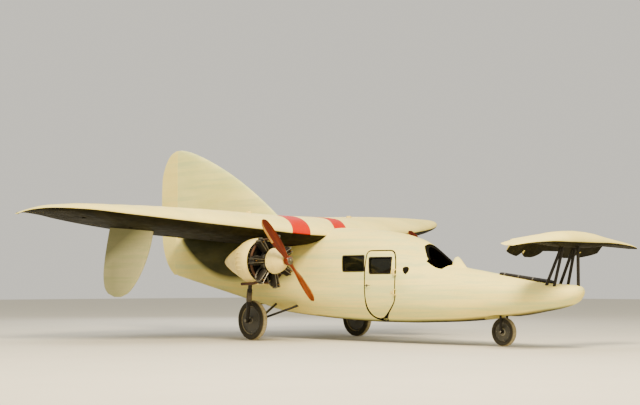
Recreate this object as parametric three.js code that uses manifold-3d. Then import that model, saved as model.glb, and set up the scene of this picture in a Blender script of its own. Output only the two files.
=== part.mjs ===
// Twin-engined canard cabin aircraft of the late 1920s, standing on its three wheels.
// Millimetres. X points to the nose, Y to port, Z up. The origin is on the ground,
// under the middle of the aircraft's length.
// Lengthways places are stations: millimetres behind the foremost point of the aircraft.

import * as THREE from "three";
import { mergeVertices } from "three/addons/utils/BufferGeometryUtils.js";
import Module from "manifold-3d";

const wasm = await Module();
wasm.setup();

// Driving dimensions

const LENGTH = 10530;
const HALF_SPAN = 5000;
const TAIL_TOP = 3700;
const SEAT_GAP = 0.3;
const MOVING_GAP = 7;

const WALL = 45;
const FLOOR = 580;
const CEILING = 1700;
const NOSE_TIP = 60;
const CABIN_START = 2050;
const CABIN_END = 5500;
const REAR_BULKHEAD = 5330;
const FRONT_BULKHEAD = 2150;

const HINGE = 10010;
const HINGE_RADIUS = 42;
const RUDDER_LUGS = [1400, 2700];
const PIN = { radius: 9, reach: 30, room: 1, sides: 8 };
const TAIL_FIN_FOOT = 1932;

const ENGINE_SIDE = 1800;
const ENGINE_HEIGHT = 1370;
const PROPELLER_STATION = 4640;
const PROPELLER_RADIUS = 880;
const PROPELLER_TILT = { right: 41, left: 50 };
const SHAFT_RADIUS = 30;
const SHAFT_SIDES = 24;
const SHAFT_BORE = SHAFT_RADIUS + 0.6;
const CYLINDERS = 7;
const CYLINDER_STATION = 5070;
const CYLINDER_REACH = 455;

const NOSE_WHEEL = { station: 1560, radius: 230, width: 110, rim: 150, bore: 16 };
const MAIN_WHEEL = { station: 6130, side: 1300, radius: 350, width: 140, rim: 235, bore: 24 };
const WHEEL_SIDES = 28;
const FORK_WELL_RADIUS = 300;
const FORK_WELL_TOP = 640;

const FOREPLANE_HEIGHT = 1640;
const ELEVATOR_HINGE = 490;
const ELEVATOR_AXIS_HEIGHT = 1612;
const ELEVATOR_DROOP = 50;
const ELEVATOR_END = 1150;

// The sill lies lower than the door, whose rounded foot swings down past it.
const DOOR_SWING_ROOM = 45;
const DOOR_GAP = 12;
const DOOR_SHOULDER = 760;
const DOOR_FOOT = 420;

// The door's outline in station and height, before its corners are rounded: an upright hinge edge
// that leans back with the roof, and a rounded foot that comes to its lowest point near the back.
const DOOR_EDGE = [
  [3330, 765],
  [3330, 855],
  [3330, 1200],
  [3385, 1400],
  [3465, 1533],
  [3640, 1533],
  [3840, 1533],
  [3990, 1533],
  [3990, 1400],
  [3990, 760],
  [3985, 480],
  [3905, 400],
  [3760, 425],
  [3560, 520],
  [3378, 668],
];

// Placing and building

const radians = THREE.MathUtils.degToRad;

// A point from its station, its side (port is positive) and its height.
function at(station, side, height) {
  return new THREE.Vector3(LENGTH / 2 - station, side, height);
}

// A closed body through a list of rings of equal length, with flat or conical ends.
function loft(rings) {
  const count = rings[0].length;
  const points = rings.flat();
  const faces = [];
  for (let i = 0; i + 1 < rings.length; i++) {
    for (let j = 0; j < count; j++) {
      const a = i * count + j;
      const b = i * count + ((j + 1) % count);
      faces.push(a, b, b + count, a, b + count, a + count);
    }
  }
  [0, rings.length - 1].forEach((end) => {
    const centre = new THREE.Vector3();
    rings[end].forEach((p) => centre.addScaledVector(p, 1 / count));
    points.push(centre);
    for (let j = 0; j < count; j++) {
      const a = end * count + j;
      const b = end * count + ((j + 1) % count);
      faces.push(...(end ? [a, b, points.length - 1] : [b, a, points.length - 1]));
    }
  });
  return new THREE.BufferGeometry().setFromPoints(points).setIndex(faces);
}

const mix = (a, b, t) => a.map((value, k) => value + (b[k] - value) * t);

// The row between two rows of a table, where its first column has the value given.
function rowAt(rows, value) {
  const next = Math.max(1, rows.findIndex((row) => row[0] >= value));
  const [a, b] = [rows[next - 1], rows[next]];
  return mix(a, b, (value - a[0]) / (b[0] - a[0]));
}

// A manifold solid from any closed geometry, turned so that its faces point out.
function solid(geometry) {
  const g = geometry.clone();
  g.deleteAttribute("normal");
  g.deleteAttribute("uv");
  const merged = mergeVertices(g, 1e-3);
  const vertices = merged.attributes.position.array;
  const triangles = new Uint32Array(merged.index.array);
  let volume = 0;
  const [a, b, c] = [new THREE.Vector3(), new THREE.Vector3(), new THREE.Vector3()];
  for (let i = 0; i < triangles.length; i += 3) {
    a.fromArray(vertices, 3 * triangles[i]);
    b.fromArray(vertices, 3 * triangles[i + 1]);
    c.fromArray(vertices, 3 * triangles[i + 2]);
    volume += a.dot(b.cross(c));
  }
  if (volume < 0) {
    for (let i = 0; i < triangles.length; i += 3) {
      [triangles[i + 1], triangles[i + 2]] = [triangles[i + 2], triangles[i + 1]];
    }
  }
  return new wasm.Manifold(
    new wasm.Mesh({ numProp: 3, vertProperties: vertices, triVerts: triangles }),
  );
}

const join = (first, ...others) => others.reduce((sum, next) => sum.add(next), first);
const cut = (first, ...tools) => tools.reduce((rest, tool) => rest.subtract(tool), first);

function geometryOf(body) {
  const mesh = body.getMesh();
  const g = new THREE.BufferGeometry();
  const vertices = new THREE.BufferAttribute(mesh.vertProperties, 3);
  g.setAttribute("position", vertices);
  g.setIndex(new THREE.BufferAttribute(mesh.triVerts, 1));
  g.computeVertexNormals();
  return g;
}

// A flat outline in station and height, thickened sideways from one side to another.
function sidePrism(shape, from, to) {
  const g = new THREE.ExtrudeGeometry(shape, { depth: to - from, bevelEnabled: false, curveSegments: 6 });
  const place = new THREE.Matrix4().makeBasis(
    new THREE.Vector3(-1, 0, 0),
    new THREE.Vector3(0, 0, 1),
    new THREE.Vector3(0, 1, 0),
  );
  return solid(g.applyMatrix4(place).translate(LENGTH / 2, from, 0));
}

// A flat outline in station and side, thickened upwards.
function planPrism(corners, from, to) {
  const shape = new THREE.Shape(corners.map(([station, side]) => new THREE.Vector2(-station, side)));
  const g = new THREE.ExtrudeGeometry(shape, { depth: to - from, bevelEnabled: false });
  return solid(g.translate(LENGTH / 2, 0, from));
}

const rectangle = (left, right, low, high) =>
  new THREE.Shape([
    new THREE.Vector2(left, low),
    new THREE.Vector2(right, low),
    new THREE.Vector2(right, high),
    new THREE.Vector2(left, high),
  ]);

function roundedRectangle(left, right, low, high, radius) {
  const shape = new THREE.Shape();
  shape.moveTo(left + radius, low);
  shape.lineTo(right - radius, low);
  shape.quadraticCurveTo(right, low, right, low + radius);
  shape.lineTo(right, high - radius);
  shape.quadraticCurveTo(right, high, right - radius, high);
  shape.lineTo(left + radius, high);
  shape.quadraticCurveTo(left, high, left, high - radius);
  shape.lineTo(left, low + radius);
  shape.quadraticCurveTo(left, low, left + radius, low);
  return shape;
}

const block = (front, back, right, left, low, high) =>
  sidePrism(rectangle(front, back, low, high), right, left);

// A round or flattened bar between two points. Flat bars are long fore and aft.
function bar(from, to, radius, { end = radius, sides = 12, flat = 1 } = {}) {
  const along = to.clone().sub(from).normalize();
  const fore = new THREE.Vector3(1, 0, 0);
  if (Math.abs(along.x) > 0.9) fore.set(0, 0, 1);
  const across = along.clone().cross(fore).normalize();
  fore.copy(across).cross(along);
  const ring = (centre, r) =>
    Array.from({ length: sides }, (_, i) => {
      const angle = (2 * Math.PI * i) / sides;
      return centre
        .clone()
        .addScaledVector(fore, r * flat * Math.cos(angle))
        .addScaledVector(across, r * Math.sin(angle));
    });
  return solid(loft([ring(from, radius), ring(to, end)]));
}

// A hinge's pin that stands out of both ends of the body it turns with, grown for its holes.
function hingePin(from, to, grow = 0) {
  const along = to.clone().sub(from).normalize().multiplyScalar(PIN.reach + 2 * grow);
  return bar(from.clone().sub(along), to.clone().add(along), PIN.radius + grow, { sides: PIN.sides });
}

// A turned body about a line along X through the side and height given.
// Its profile rows are station and radius.
function turned(profile, side, height, sides) {
  const points = profile.map(([station, radius]) => new THREE.Vector2(radius, LENGTH / 2 - station));
  const g = new THREE.LatheGeometry(points, sides).rotateZ(-Math.PI / 2);
  return solid(g.translate(0, side, height));
}

// A turned body about a line along Y. Its profile rows are radius and side offset.
function wheelTurned(profile, station, side, height, sides) {
  const points = profile.map(([radius, offset]) => new THREE.Vector2(radius, offset));
  const place = at(station, side, height);
  return solid(new THREE.LatheGeometry(points, sides).translate(...place));
}

function mirrored(body) {
  return body.mirror([0, 1, 0]);
}

// Materials

const finish = (color, roughness, metalness = 0) => ({ color, roughness, metalness });
const CREAM = finish("#e8dfbf", 0.55);
const CREAM_FABRIC = finish("#e4dcbb", 0.7);
const SOOTY_STEEL = finish("#35322c", 0.6, 0.6);
const BLACK_PAINT = finish("#1d1a16", 0.5);
const VARNISHED_WOOD = finish("#a5501f", 0.3);
const TYRE_RUBBER = finish("#2b2926", 0.85);
const WHEEL_PAINT = finish("#b9b4a0", 0.5);
const LEATHER = finish("#6b3d22", 0.6);
const GLASS = finish("#27302e", 0.1);
const PANEL = finish("#2a2622", 0.5);

const aircraft = new THREE.Group();
aircraft.name = "canard_aircraft";

function add(name, body, look) {
  const mesh = new THREE.Mesh(geometryOf(body), new THREE.MeshStandardMaterial(look));
  mesh.name = name;
  aircraft.add(mesh);
}

// Fuselage

// station, keel height, crest height, half width, height of the widest line,
// squareness below the widest line, squareness above it
const FUSELAGE = [
  [NOSE_TIP, 845, 905, 30, 875, 2.0, 2.0],
  [NOSE_TIP + 25, 790, 942, 100, 870, 2.0, 2.0],
  [170, 705, 968, 180, 855, 2.1, 2.1],
  [400, 625, 978, 260, 830, 2.2, 2.2],
  [750, 560, 1005, 345, 800, 2.3, 2.3],
  [1150, 495, 1062, 425, 790, 2.4, 2.4],
  [1600, 447, 1130, 500, 790, 2.5, 2.4],
  [2050, 400, 1200, 560, 800, 2.6, 2.4],
  [2450, 372, 1268, 600, 820, 2.6, 2.2],
  [2680, 362, 1345, 615, 840, 2.6, 1.8],
  [2980, 351, 1590, 630, 880, 2.6, 1.5],
  [3180, 343, 1680, 640, 920, 2.6, 1.8],
  [3450, 338, 1768, 650, 945, 2.6, 2.3],
  [4000, 337, 1885, 660, 960, 2.6, 2.6],
  [4600, 350, 1950, 660, 970, 2.6, 2.6],
  [5150, 375, 1980, 650, 980, 2.6, 2.6],
  [5500, 397, 1960, 635, 990, 2.6, 2.6],
  [6400, 467, 1925, 560, 1040, 2.6, 2.6],
  [7300, 632, 1925, 455, 1120, 2.6, 2.6],
  [8200, 805, 1925, 335, 1220, 2.5, 2.5],
  [9100, 982, 1925, 200, 1330, 2.4, 2.4],
  [9750, 1113, 1925, 95, 1430, 2.2, 2.2],
  [HINGE + 20, 1170, 1925, 48, 1480, 2.1, 2.1],
];
const FUSELAGE_SIDES = 24;

const power = (value, exponent) => Math.sign(value) * Math.abs(value) ** exponent;

function fuselageRing([station, keel, crest, halfWidth, widest, below, above], inset) {
  return Array.from({ length: FUSELAGE_SIDES }, (_, i) => {
    const angle = (2 * Math.PI * (i + 0.5)) / FUSELAGE_SIDES;
    const [c, s] = [Math.cos(angle), Math.sin(angle)];
    const rise = s > 0 ? crest - inset - widest : widest - keel - inset;
    const squareness = s > 0 ? above : below;
    const side = (halfWidth - inset) * power(c, 2 / squareness);
    return at(station, side, widest + rise * power(s, 2 / squareness));
  });
}

// The fuselage's fair outer form between two stations, taken in by inset all round.
function fuselage(from, to, inset = 0) {
  const inner = FUSELAGE.filter((row) => row[0] > from + 1 && row[0] < to - 1);
  const rows = [rowAt(FUSELAGE, from), ...inner, rowAt(FUSELAGE, to)];
  return solid(loft(rows.map((row) => fuselageRing(row, inset))));
}

// Wings, fins and foreplane

const FOIL_STEPS = 8;

// Half thickness of a symmetrical section of thickness one, at a share x of the chord.
const foilHalf = (x) =>
  5 * (0.2969 * Math.sqrt(x) - 0.126 * x - 0.3516 * x ** 2 + 0.2843 * x ** 3 - 0.1015 * x ** 4);

// Points of a section from its trailing edge over the top and back: chord share, rise share.
function foilSection(thickness, camber) {
  const steps = Array.from({ length: FOIL_STEPS + 1 }, (_, i) => i);
  const shares = steps.map((i) => (1 - Math.cos((Math.PI * i) / FOIL_STEPS)) / 2);
  const bend = (x) => 4 * camber * x * (1 - x);
  const top = shares.map((x) => [x, bend(x) + thickness * foilHalf(x)]).reverse();
  const under = shares.slice(1).map((x) => [x, bend(x) - thickness * foilHalf(x)]);
  return [...top, ...under];
}

// A lofted surface. Rows are span place, leading station, trailing station, thickness share,
// and the offsets of the leading and the trailing edge.
function surface(rows, place, { camber = 0, grow = 0 } = {}) {
  const rings = rows.map(([span, lead, trail, thickness, leadOffset = 0, trailOffset = 0]) => {
    const chord = trail - lead + 2 * grow;
    const share = thickness + (2 * grow) / (trail - lead);
    return foilSection(share, camber).map(([x, rise]) => {
      const line = leadOffset + (trailOffset - leadOffset) * x;
      return place(lead - grow + x * chord, line + rise * chord, span);
    });
  });
  return solid(loft(rings));
}

// Middle height and half thickness of a surface at a place on it.
function depthAt(rows, side, station, camber) {
  const [, lead, trail, thickness, leadHeight, trailHeight] = rowAt(rows, side);
  const chord = trail - lead;
  const x = (station - lead) / chord;
  const bend = 4 * camber * x * (1 - x) * chord;
  return {
    height: leadHeight + (trailHeight - leadHeight) * x + bend,
    half: thickness * foilHalf(x) * chord,
  };
}

const flatPlace = (station, height, side) => at(station, side, height);
const uprightPlace = (side) => (station, offset, height) => at(station, side + offset, height);

// side, leading station, trailing station, thickness share, leading and trailing edge height
const WING = [
  [0, 5150, 9700, 0.125, 1860, 1935],
  [650, 5170, 9680, 0.125, 1865, 1945],
  [1800, 5400, 9470, 0.125, 1950, 2015],
  [2900, 5830, 9080, 0.125, 2055, 2085],
  [3800, 6350, 8630, 0.12, 2160, 2145],
  [4350, 6830, 8310, 0.115, 2235, 2185],
  [4700, 7250, 8110, 0.11, 2255, 2195],
  [4900, 7610, 8010, 0.1, 2225, 2180],
  [HALF_SPAN, 7860, 7960, 0.12, 2160, 2160],
];
const WING_CAMBER = 0.02;

function bothSides(rows) {
  const port = rows.filter((row) => row[0] > 0);
  const starboard = port.map(([side, ...rest]) => [-side, ...rest]).reverse();
  return [...starboard, ...rows.filter((row) => row[0] === 0), ...port];
}

const wingForm = (grow = 0) => surface(bothSides(WING), flatPlace, { camber: WING_CAMBER, grow });

// The aileron's hinge runs between two places: side and station.
const AILERON = { inner: [2950, 8480], outer: [4560, 7790] };
const BARREL_ROOM = 1.15;

// The hinge's two points on the wing's middle, with the half thickness there.
function aileronHinge(side) {
  return [AILERON.inner, AILERON.outer].map(([out, station]) => {
    const { height, half } = depthAt(WING, out, station, WING_CAMBER);
    return { point: at(station, side * out, height), half };
  });
}

// All behind the hinge between two end planes square to it, and a barrel round the hinge.
function aileronCutter(side, gap) {
  const [inner, outer] = aileronHinge(side);
  const along = outer.point.clone().sub(inner.point).normalize();
  const back = new THREE.Vector3(0, 0, side).cross(along).normalize();
  const up = along.clone().cross(back).multiplyScalar(side);
  const start = inner.point.addScaledVector(along, -gap);
  const stop = outer.point.addScaledVector(along, gap);
  const ring = (centre) =>
    [[0, -400], [1500, -400], [1500, 400], [0, 400]].map(([behind, over]) =>
      centre.clone().addScaledVector(back, behind).addScaledVector(up, over),
    );
  const behind = solid(loft([ring(start), ring(stop)]));
  const size = (half) => half * BARREL_ROOM + gap;
  return join(behind, bar(start, stop, size(inner.half), { end: size(outer.half), sides: 20 }));
}

function addWing() {
  const cutters = [1, -1].map((side) => aileronCutter(side, MOVING_GAP));
  const pin = (side, grow) => hingePin(...aileronHinge(side).map((end) => end.point), grow);
  add("wing", cut(wingForm(), ...cutters, pin(1, PIN.room), pin(-1, PIN.room)), CREAM_FABRIC);
  const aileron = (side) => join(wingForm().intersect(aileronCutter(side, 0)), pin(side));
  add("aileron_left", aileron(1), CREAM_FABRIC);
  add("aileron_right", aileron(-1), CREAM_FABRIC);
}

// Upright tail: height, leading station, trailing station, thickness share
const TAIL = [
  [TAIL_FIN_FOOT, 6400, 10500, 0.04],
  [2200, 6830, 10515, 0.04],
  [2450, 7180, 10525, 0.042],
  [2800, 7720, LENGTH, 0.045],
  [3140, 8330, 10512, 0.052],
  [3370, 8830, 10435, 0.065],
  [3540, 9260, 10325, 0.08],
  [3650, 9600, 10195, 0.1],
  [TAIL_TOP, 9850, 10050, 0.14],
];
// The rudder's lower half, behind and below the fuselage's stern post.
const LOWER_RUDDER = [
  [1175, 9880, 10090, 0.25],
  [1290, 9800, 10230, 0.16],
  [1450, 9760, 10350, 0.12],
  [1650, 9740, 10440, 0.105],
  [1850, 9720, 10490, 0.1],
  [TAIL_FIN_FOOT + 60, 9720, 10503, 0.1],
];

function rudderCutter(gap) {
  const behind = planPrism(
    [
      [HINGE, -300],
      [LENGTH + 100, -300],
      [LENGTH + 100, 300],
      [HINGE, 300],
    ],
    1000,
    TAIL_TOP + 100,
  );
  const barrel = bar(at(HINGE, 0, 1000), at(HINGE, 0, TAIL_TOP + 100), HINGE_RADIUS + gap, { sides: 24 });
  return join(behind, barrel);
}

// A lug that holds the rudder's pin, and the notch that the rudder leaves round it.
const LUG = { thickness: 16, radius: 20, root: 9925, notch: 56 };

const rudderBar = (low, high, radius) =>
  bar(at(HINGE, 0, low), at(HINGE, 0, high), radius, { sides: PIN.sides });

function rudderLug(height) {
  const top = height + LUG.thickness;
  const tongue = block(LUG.root, HINGE, -LUG.radius, LUG.radius, height, top);
  const hole = rudderBar(height - 5, top + 5, PIN.radius + PIN.room);
  return cut(join(tongue, rudderBar(height, top, LUG.radius)), hole);
}

const rudderNotch = (height) =>
  rudderBar(height - MOVING_GAP, height + LUG.thickness + MOVING_GAP, LUG.notch);
const rudderPin = (height) =>
  rudderBar(height - PIN.reach, height + LUG.thickness + PIN.reach, PIN.radius);

function addTail() {
  const upright = uprightPlace(0);
  const upper = surface(TAIL, upright);
  const fin = cut(upper, rudderCutter(MOVING_GAP), wingForm(SEAT_GAP));
  add("fin", join(fin, rudderLug(RUDDER_LUGS[1])), CREAM_FABRIC);
  const lower = surface(LOWER_RUDDER, upright);
  const leaf = cut(join(upper, lower).intersect(rudderCutter(0)), ...RUDDER_LUGS.map(rudderNotch));
  add("rudder", join(leaf, ...RUDDER_LUGS.map(rudderPin)), CREAM_FABRIC);
}

// Fins under the wing: height, leading station, trailing station, thickness share
const UNDER_FIN_SIDE = 2600;
const UNDER_FIN = [
  [750, 8270, 8480, 0.12],
  [775, 8160, 8600, 0.12],
  [840, 8020, 8720, 0.12],
  [950, 7880, 8800, 0.12],
  [1150, 7690, 8830, 0.12],
  [1400, 7520, 8800, 0.12],
  [1700, 7380, 8730, 0.12],
  [2080, 7280, 8620, 0.12],
];

function addUnderFins() {
  const body = cut(surface(UNDER_FIN, uprightPlace(UNDER_FIN_SIDE)), wingForm(SEAT_GAP));
  add("under_fin_left", body, CREAM_FABRIC);
  add("under_fin_right", mirrored(body), CREAM_FABRIC);
}

// Foreplane: side, leading station, trailing station, thickness share, edge heights
const FOREPLANE_CAMBER = 0.03;
const FOREPLANE = [
  [0, 0, 800, 0.32, FOREPLANE_HEIGHT, FOREPLANE_HEIGHT],
  [350, 0, 800, 0.29, FOREPLANE_HEIGHT - 5, FOREPLANE_HEIGHT - 5],
  [700, 4, 785, 0.19, FOREPLANE_HEIGHT - 17, FOREPLANE_HEIGHT - 17],
  [1000, 14, 720, 0.14, FOREPLANE_HEIGHT - 35, FOREPLANE_HEIGHT - 35],
  [1250, 30, 600, 0.12, FOREPLANE_HEIGHT - 55, FOREPLANE_HEIGHT - 55],
  [1450, 60, 410, 0.11, FOREPLANE_HEIGHT - 80, FOREPLANE_HEIGHT - 80],
  [1560, 110, 260, 0.12, FOREPLANE_HEIGHT - 100, FOREPLANE_HEIGHT - 100],
];
const foreplaneForm = (grow = 0) =>
  surface(bothSides(FOREPLANE), flatPlace, { camber: FOREPLANE_CAMBER, grow });

const ELEVATOR_AXIS = at(ELEVATOR_HINGE, 0, ELEVATOR_AXIS_HEIGHT);
const elevatorEnds = (reach) => [-reach, reach].map((side) => ELEVATOR_AXIS.clone().setY(side));

// The elevator's rounded front, as deep as the foreplane is at each of these sides.
const BARREL_SIDES = [0, 350, 700, ELEVATOR_END];

function elevatorBarrel(gap) {
  const sizes = BARREL_SIDES.map((side) => {
    const { height, half } = depthAt(FOREPLANE, side, ELEVATOR_HINGE, FOREPLANE_CAMBER);
    return Math.abs(height - ELEVATOR_AXIS_HEIGHT) + half + 6 + gap;
  });
  const ends = BARREL_SIDES.map((side, i) => (i + 1 < BARREL_SIDES.length ? side : side + gap));
  const parts = sizes.slice(1).map((size, i) => {
    const [from, to] = [ends[i], ends[i + 1]].map((side) => ELEVATOR_AXIS.clone().setY(side));
    return bar(from, to, sizes[i], { end: size, sides: 28 });
  });
  return join(...parts, ...parts.map(mirrored));
}

function elevatorCutter(gap) {
  const reach = ELEVATOR_END + gap;
  return join(block(ELEVATOR_HINGE, 1200, -reach, reach, 1300, 2000), elevatorBarrel(gap));
}

// The elevator's outline in plan: two round lobes a side behind a straight front.
// inner side, outer side, reach of the lobe's trailing edge
const ELEVATOR_LOBES = [
  [260, 690, 805],
  [720, ELEVATOR_END, 800],
];
const ELEVATOR_WAIST = 650;

function elevatorOutline() {
  const half = ELEVATOR_LOBES.flatMap(([inner, outer, reach]) =>
    Array.from({ length: 9 }, (_, i) => {
      const angle = (Math.PI * i) / 8;
      const side = (inner + outer) / 2 - ((outer - inner) / 2) * Math.cos(angle);
      return [ELEVATOR_WAIST + (reach - ELEVATOR_WAIST) * Math.max(0, Math.sin(angle)) ** 0.8, side];
    }),
  );
  const other = half.map(([station, side]) => [station, -side]).reverse();
  const front = ELEVATOR_HINGE - 200;
  return planPrism([[front, -ELEVATOR_END], ...other, ...half, [front, ELEVATOR_END]], 1300, 2000);
}

function addForeplane() {
  const form = foreplaneForm();
  const pin = (grow) => hingePin(...elevatorEnds(ELEVATOR_END), grow);
  add("foreplane", cut(form, elevatorCutter(MOVING_GAP), pin(PIN.room)), CREAM_FABRIC);
  // The elevator stands with its trailing edge drooped.
  const droop = new THREE.Matrix4()
    .makeTranslation(...ELEVATOR_AXIS)
    .multiply(new THREE.Matrix4().makeRotationY(-radians(ELEVATOR_DROOP)))
    .multiply(new THREE.Matrix4().makeTranslation(...ELEVATOR_AXIS.clone().negate()));
  const elevator = join(form.intersect(elevatorCutter(0)).intersect(elevatorOutline()), pin(0));
  add("elevator", solid(geometryOf(elevator).applyMatrix4(droop)), CREAM_FABRIC);
}

// Each side's two raked struts meet under the foreplane; one more stands at the very nose.
const STRUT = { feet: [650, 475], footSide: 175, top: 265, topSide: 150, radius: 17, flat: 1.5 };

function addForeplaneStruts() {
  const under = foreplaneForm(SEAT_GAP);
  const skin = fuselage(NOSE_TIP, CABIN_START, -SEAT_GAP);
  const legs = STRUT.feet.map((foot) =>
    bar(at(foot, STRUT.footSide, 850), at(STRUT.top, STRUT.topSide, FOREPLANE_HEIGHT + 20), STRUT.radius, {
      flat: STRUT.flat,
    }),
  );
  const pair = cut(join(...legs), under, skin);
  add("foreplane_struts_left", pair, BLACK_PAINT);
  add("foreplane_struts_right", mirrored(pair), BLACK_PAINT);
  const post = bar(at(130, 0, 850), at(130, 0, FOREPLANE_HEIGHT + 20), 19, { flat: 1.4 });
  add("foreplane_post_front", cut(post, under, skin), BLACK_PAINT);
}

// Fuselage sections, door and windows

// station front and back at the foot, low, high, how far the head stands behind the foot
const WINDOWS = {
  door: [3420, 3885, 1165, 1425, 42],
  rear: [4020, 4520, 1206, 1462, 40],
  front: [3420, 3885, 1165, 1425, 42],
};
const PANE = 10;

function windowPrism([front, back, low, high, lean], side, gap = 0) {
  const upright = roundedRectangle(front - gap, back + gap, low - gap, high + gap, 35);
  const leaning = ({ x, y }) => new THREE.Vector2(x + (lean * (y - low)) / (high - low), y);
  const shape = new THREE.Shape(upright.getPoints(5).map(leaning));
  return side > 0 ? sidePrism(shape, 300, 900) : sidePrism(shape, -900, -300);
}

// The door's two hinges stand on the skin: its knuckle turns on a pin between two brackets.
const DOOR_HINGE = { station: 3326, side: -668, heights: [850, 1180], pin: 5, knuckle: 13, half: 32 };

function doorKnuckle(height) {
  const { station, side, knuckle, half, pin } = DOOR_HINGE;
  const upright = (radius, reach) =>
    bar(at(station, side, height - reach), at(station, side, height + reach), radius, { sides: PIN.sides });
  const strap = block(station, station + 60, side - 8, -610, height - half, height + half);
  const skin = fuselage(CABIN_START, CABIN_END, 5);
  return cut(join(upright(knuckle, half), cut(strap, skin)), upright(pin + PIN.room, half + 5));
}

function doorBrackets(height) {
  const { station, side, pin, half } = DOOR_HINGE;
  const skin = fuselage(CABIN_START, CABIN_END, 5);
  const plates = [half + 6, -half - 18].map((low) => {
    const [bottom, top] = [height + low, height + low + 12];
    const foot = cut(block(station - 50, station - 12, side - 8, -610, bottom, top), skin);
    return join(foot, block(station - 20, station + 8, side - 8, side + 8, bottom, top));
  });
  const reach = half + 14;
  return join(...plates, bar(at(station, side, height - reach), at(station, side, height + reach), pin));
}

// Rounds a closed outline by cutting a quarter off both ends of each edge, twice.
function rounded(corners) {
  let points = corners;
  for (let round = 0; round < 2; round += 1) {
    points = points.flatMap(([u, v], i) => {
      const [p, q] = points[(i + 1) % points.length];
      return [
        [0.75 * u + 0.25 * p, 0.75 * v + 0.25 * q],
        [0.25 * u + 0.75 * p, 0.25 * v + 0.75 * q],
      ];
    });
  }
  return points;
}

// The door's outline, grown by a gap all round that widens towards its foot.
function doorPrism(gap, under = gap) {
  const edge = rounded(DOOR_EDGE);
  const grown = edge.map(([station, height], i) => {
    const [before, after] = [edge.at(i - 1), edge[(i + 1) % edge.length]];
    const along = new THREE.Vector2(after[0] - before[0], after[1] - before[1]).normalize();
    const low = Math.min(1, Math.max(0, (DOOR_SHOULDER - height) / (DOOR_SHOULDER - DOOR_FOOT)));
    const wide = gap + (under - gap) * low;
    return new THREE.Vector2(station - along.y * wide, height + along.x * wide);
  });
  return sidePrism(new THREE.Shape(grown), -900, -250);
}

function cabinHollow() {
  const room = block(FRONT_BULKHEAD, REAR_BULKHEAD, -700, 700, FLOOR, CEILING);
  return fuselage(CABIN_START, CABIN_END, WALL).intersect(room);
}

// The cockpit's mouth: an arch under the roof's front edge and a low rim ahead of it.
function cockpitMouth() {
  const shape = new THREE.Shape();
  shape.moveTo(2560, 1760);
  shape.lineTo(2560, 1330);
  shape.quadraticCurveTo(2572, 1266, 2640, 1266);
  shape.lineTo(2735, 1284);
  shape.quadraticCurveTo(2855, 1340, 2940, 1428);
  shape.lineTo(3112, 1620);
  shape.lineTo(3125, 1760);
  const notch = sidePrism(shape, -700, 700);
  const well = block(2560, 2900, -330, 330, 1100, 1500);
  return join(notch, well);
}

// The shell between the outer form and the inside, for the door and the panes.
const shell = (thickness) =>
  cut(fuselage(CABIN_START, CABIN_END), fuselage(CABIN_START, CABIN_END, thickness));

function addFuselage() {
  const well = bar(
    at(NOSE_WHEEL.station, 0, 200),
    at(NOSE_WHEEL.station, 0, FORK_WELL_TOP),
    FORK_WELL_RADIUS,
    { sides: 28 },
  );
  const noseEnd = CABIN_START - SEAT_GAP;
  add("fuselage_nose", cut(fuselage(NOSE_TIP, noseEnd), well), CREAM);
  const holes = [
    windowPrism(WINDOWS.rear, -1, SEAT_GAP),
    windowPrism(WINDOWS.rear, 1, SEAT_GAP),
    windowPrism(WINDOWS.front, 1, SEAT_GAP),
  ];
  const cabin = cut(
    fuselage(CABIN_START, CABIN_END - SEAT_GAP),
    cabinHollow(),
    cockpitMouth(),
    doorPrism(DOOR_GAP, DOOR_SWING_ROOM),
    wingForm(SEAT_GAP),
    gearSockets(),
    ...holes,
  );
  add("fuselage_cabin", join(cabin, ...DOOR_HINGE.heights.map(doorBrackets)), CREAM);
  const rear = cut(
    fuselage(CABIN_END, HINGE + 10),
    wingForm(SEAT_GAP),
    rudderCutter(MOVING_GAP),
    gearSockets(),
  );
  const pad = block(7250, 7370, -60, 60, 605, 740);
  add("fuselage_rear", join(rear, pad, rudderLug(RUDDER_LUGS[0])), CREAM);
}

function addDoorAndWindows() {
  const outer = shell(WALL);
  const door = cut(outer.intersect(doorPrism(0)), windowPrism(WINDOWS.door, -1, SEAT_GAP));
  add("cabin_door", join(door, ...DOOR_HINGE.heights.map(doorKnuckle)), CREAM);
  const paneShell = cut(
    fuselage(CABIN_START, CABIN_END, (WALL - PANE) / 2),
    fuselage(CABIN_START, CABIN_END, (WALL + PANE) / 2),
  );
  add("window_door", paneShell.intersect(windowPrism(WINDOWS.door, -1)), GLASS);
  add("window_right_rear", paneShell.intersect(windowPrism(WINDOWS.rear, -1)), GLASS);
  add("window_left_front", paneShell.intersect(windowPrism(WINDOWS.front, 1)), GLASS);
  add("window_left_rear", paneShell.intersect(windowPrism(WINDOWS.rear, 1)), GLASS);
}

// The windscreen's fairing: a small wedge ahead of the cockpit's mouth.
function addWindscreenFairing() {
  const rows = [
    [2290, 30, 1225],
    [2390, 75, 1320],
    [2470, 105, 1405],
    [2510, 112, 1432],
    [2540, 108, 1422],
  ];
  const rings = rows.map(([station, half, top]) =>
    Array.from({ length: 14 }, (_, i) => {
      const angle = (Math.PI * i) / 13;
      return at(station, half * Math.cos(angle), 1150 + (top - 1150) * power(Math.sin(angle), 0.9));
    }),
  );
  add("windscreen_fairing", cut(solid(loft(rings)), fuselage(CABIN_START, CABIN_END, -SEAT_GAP)), CREAM);
}

// Inside the cabin

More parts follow.
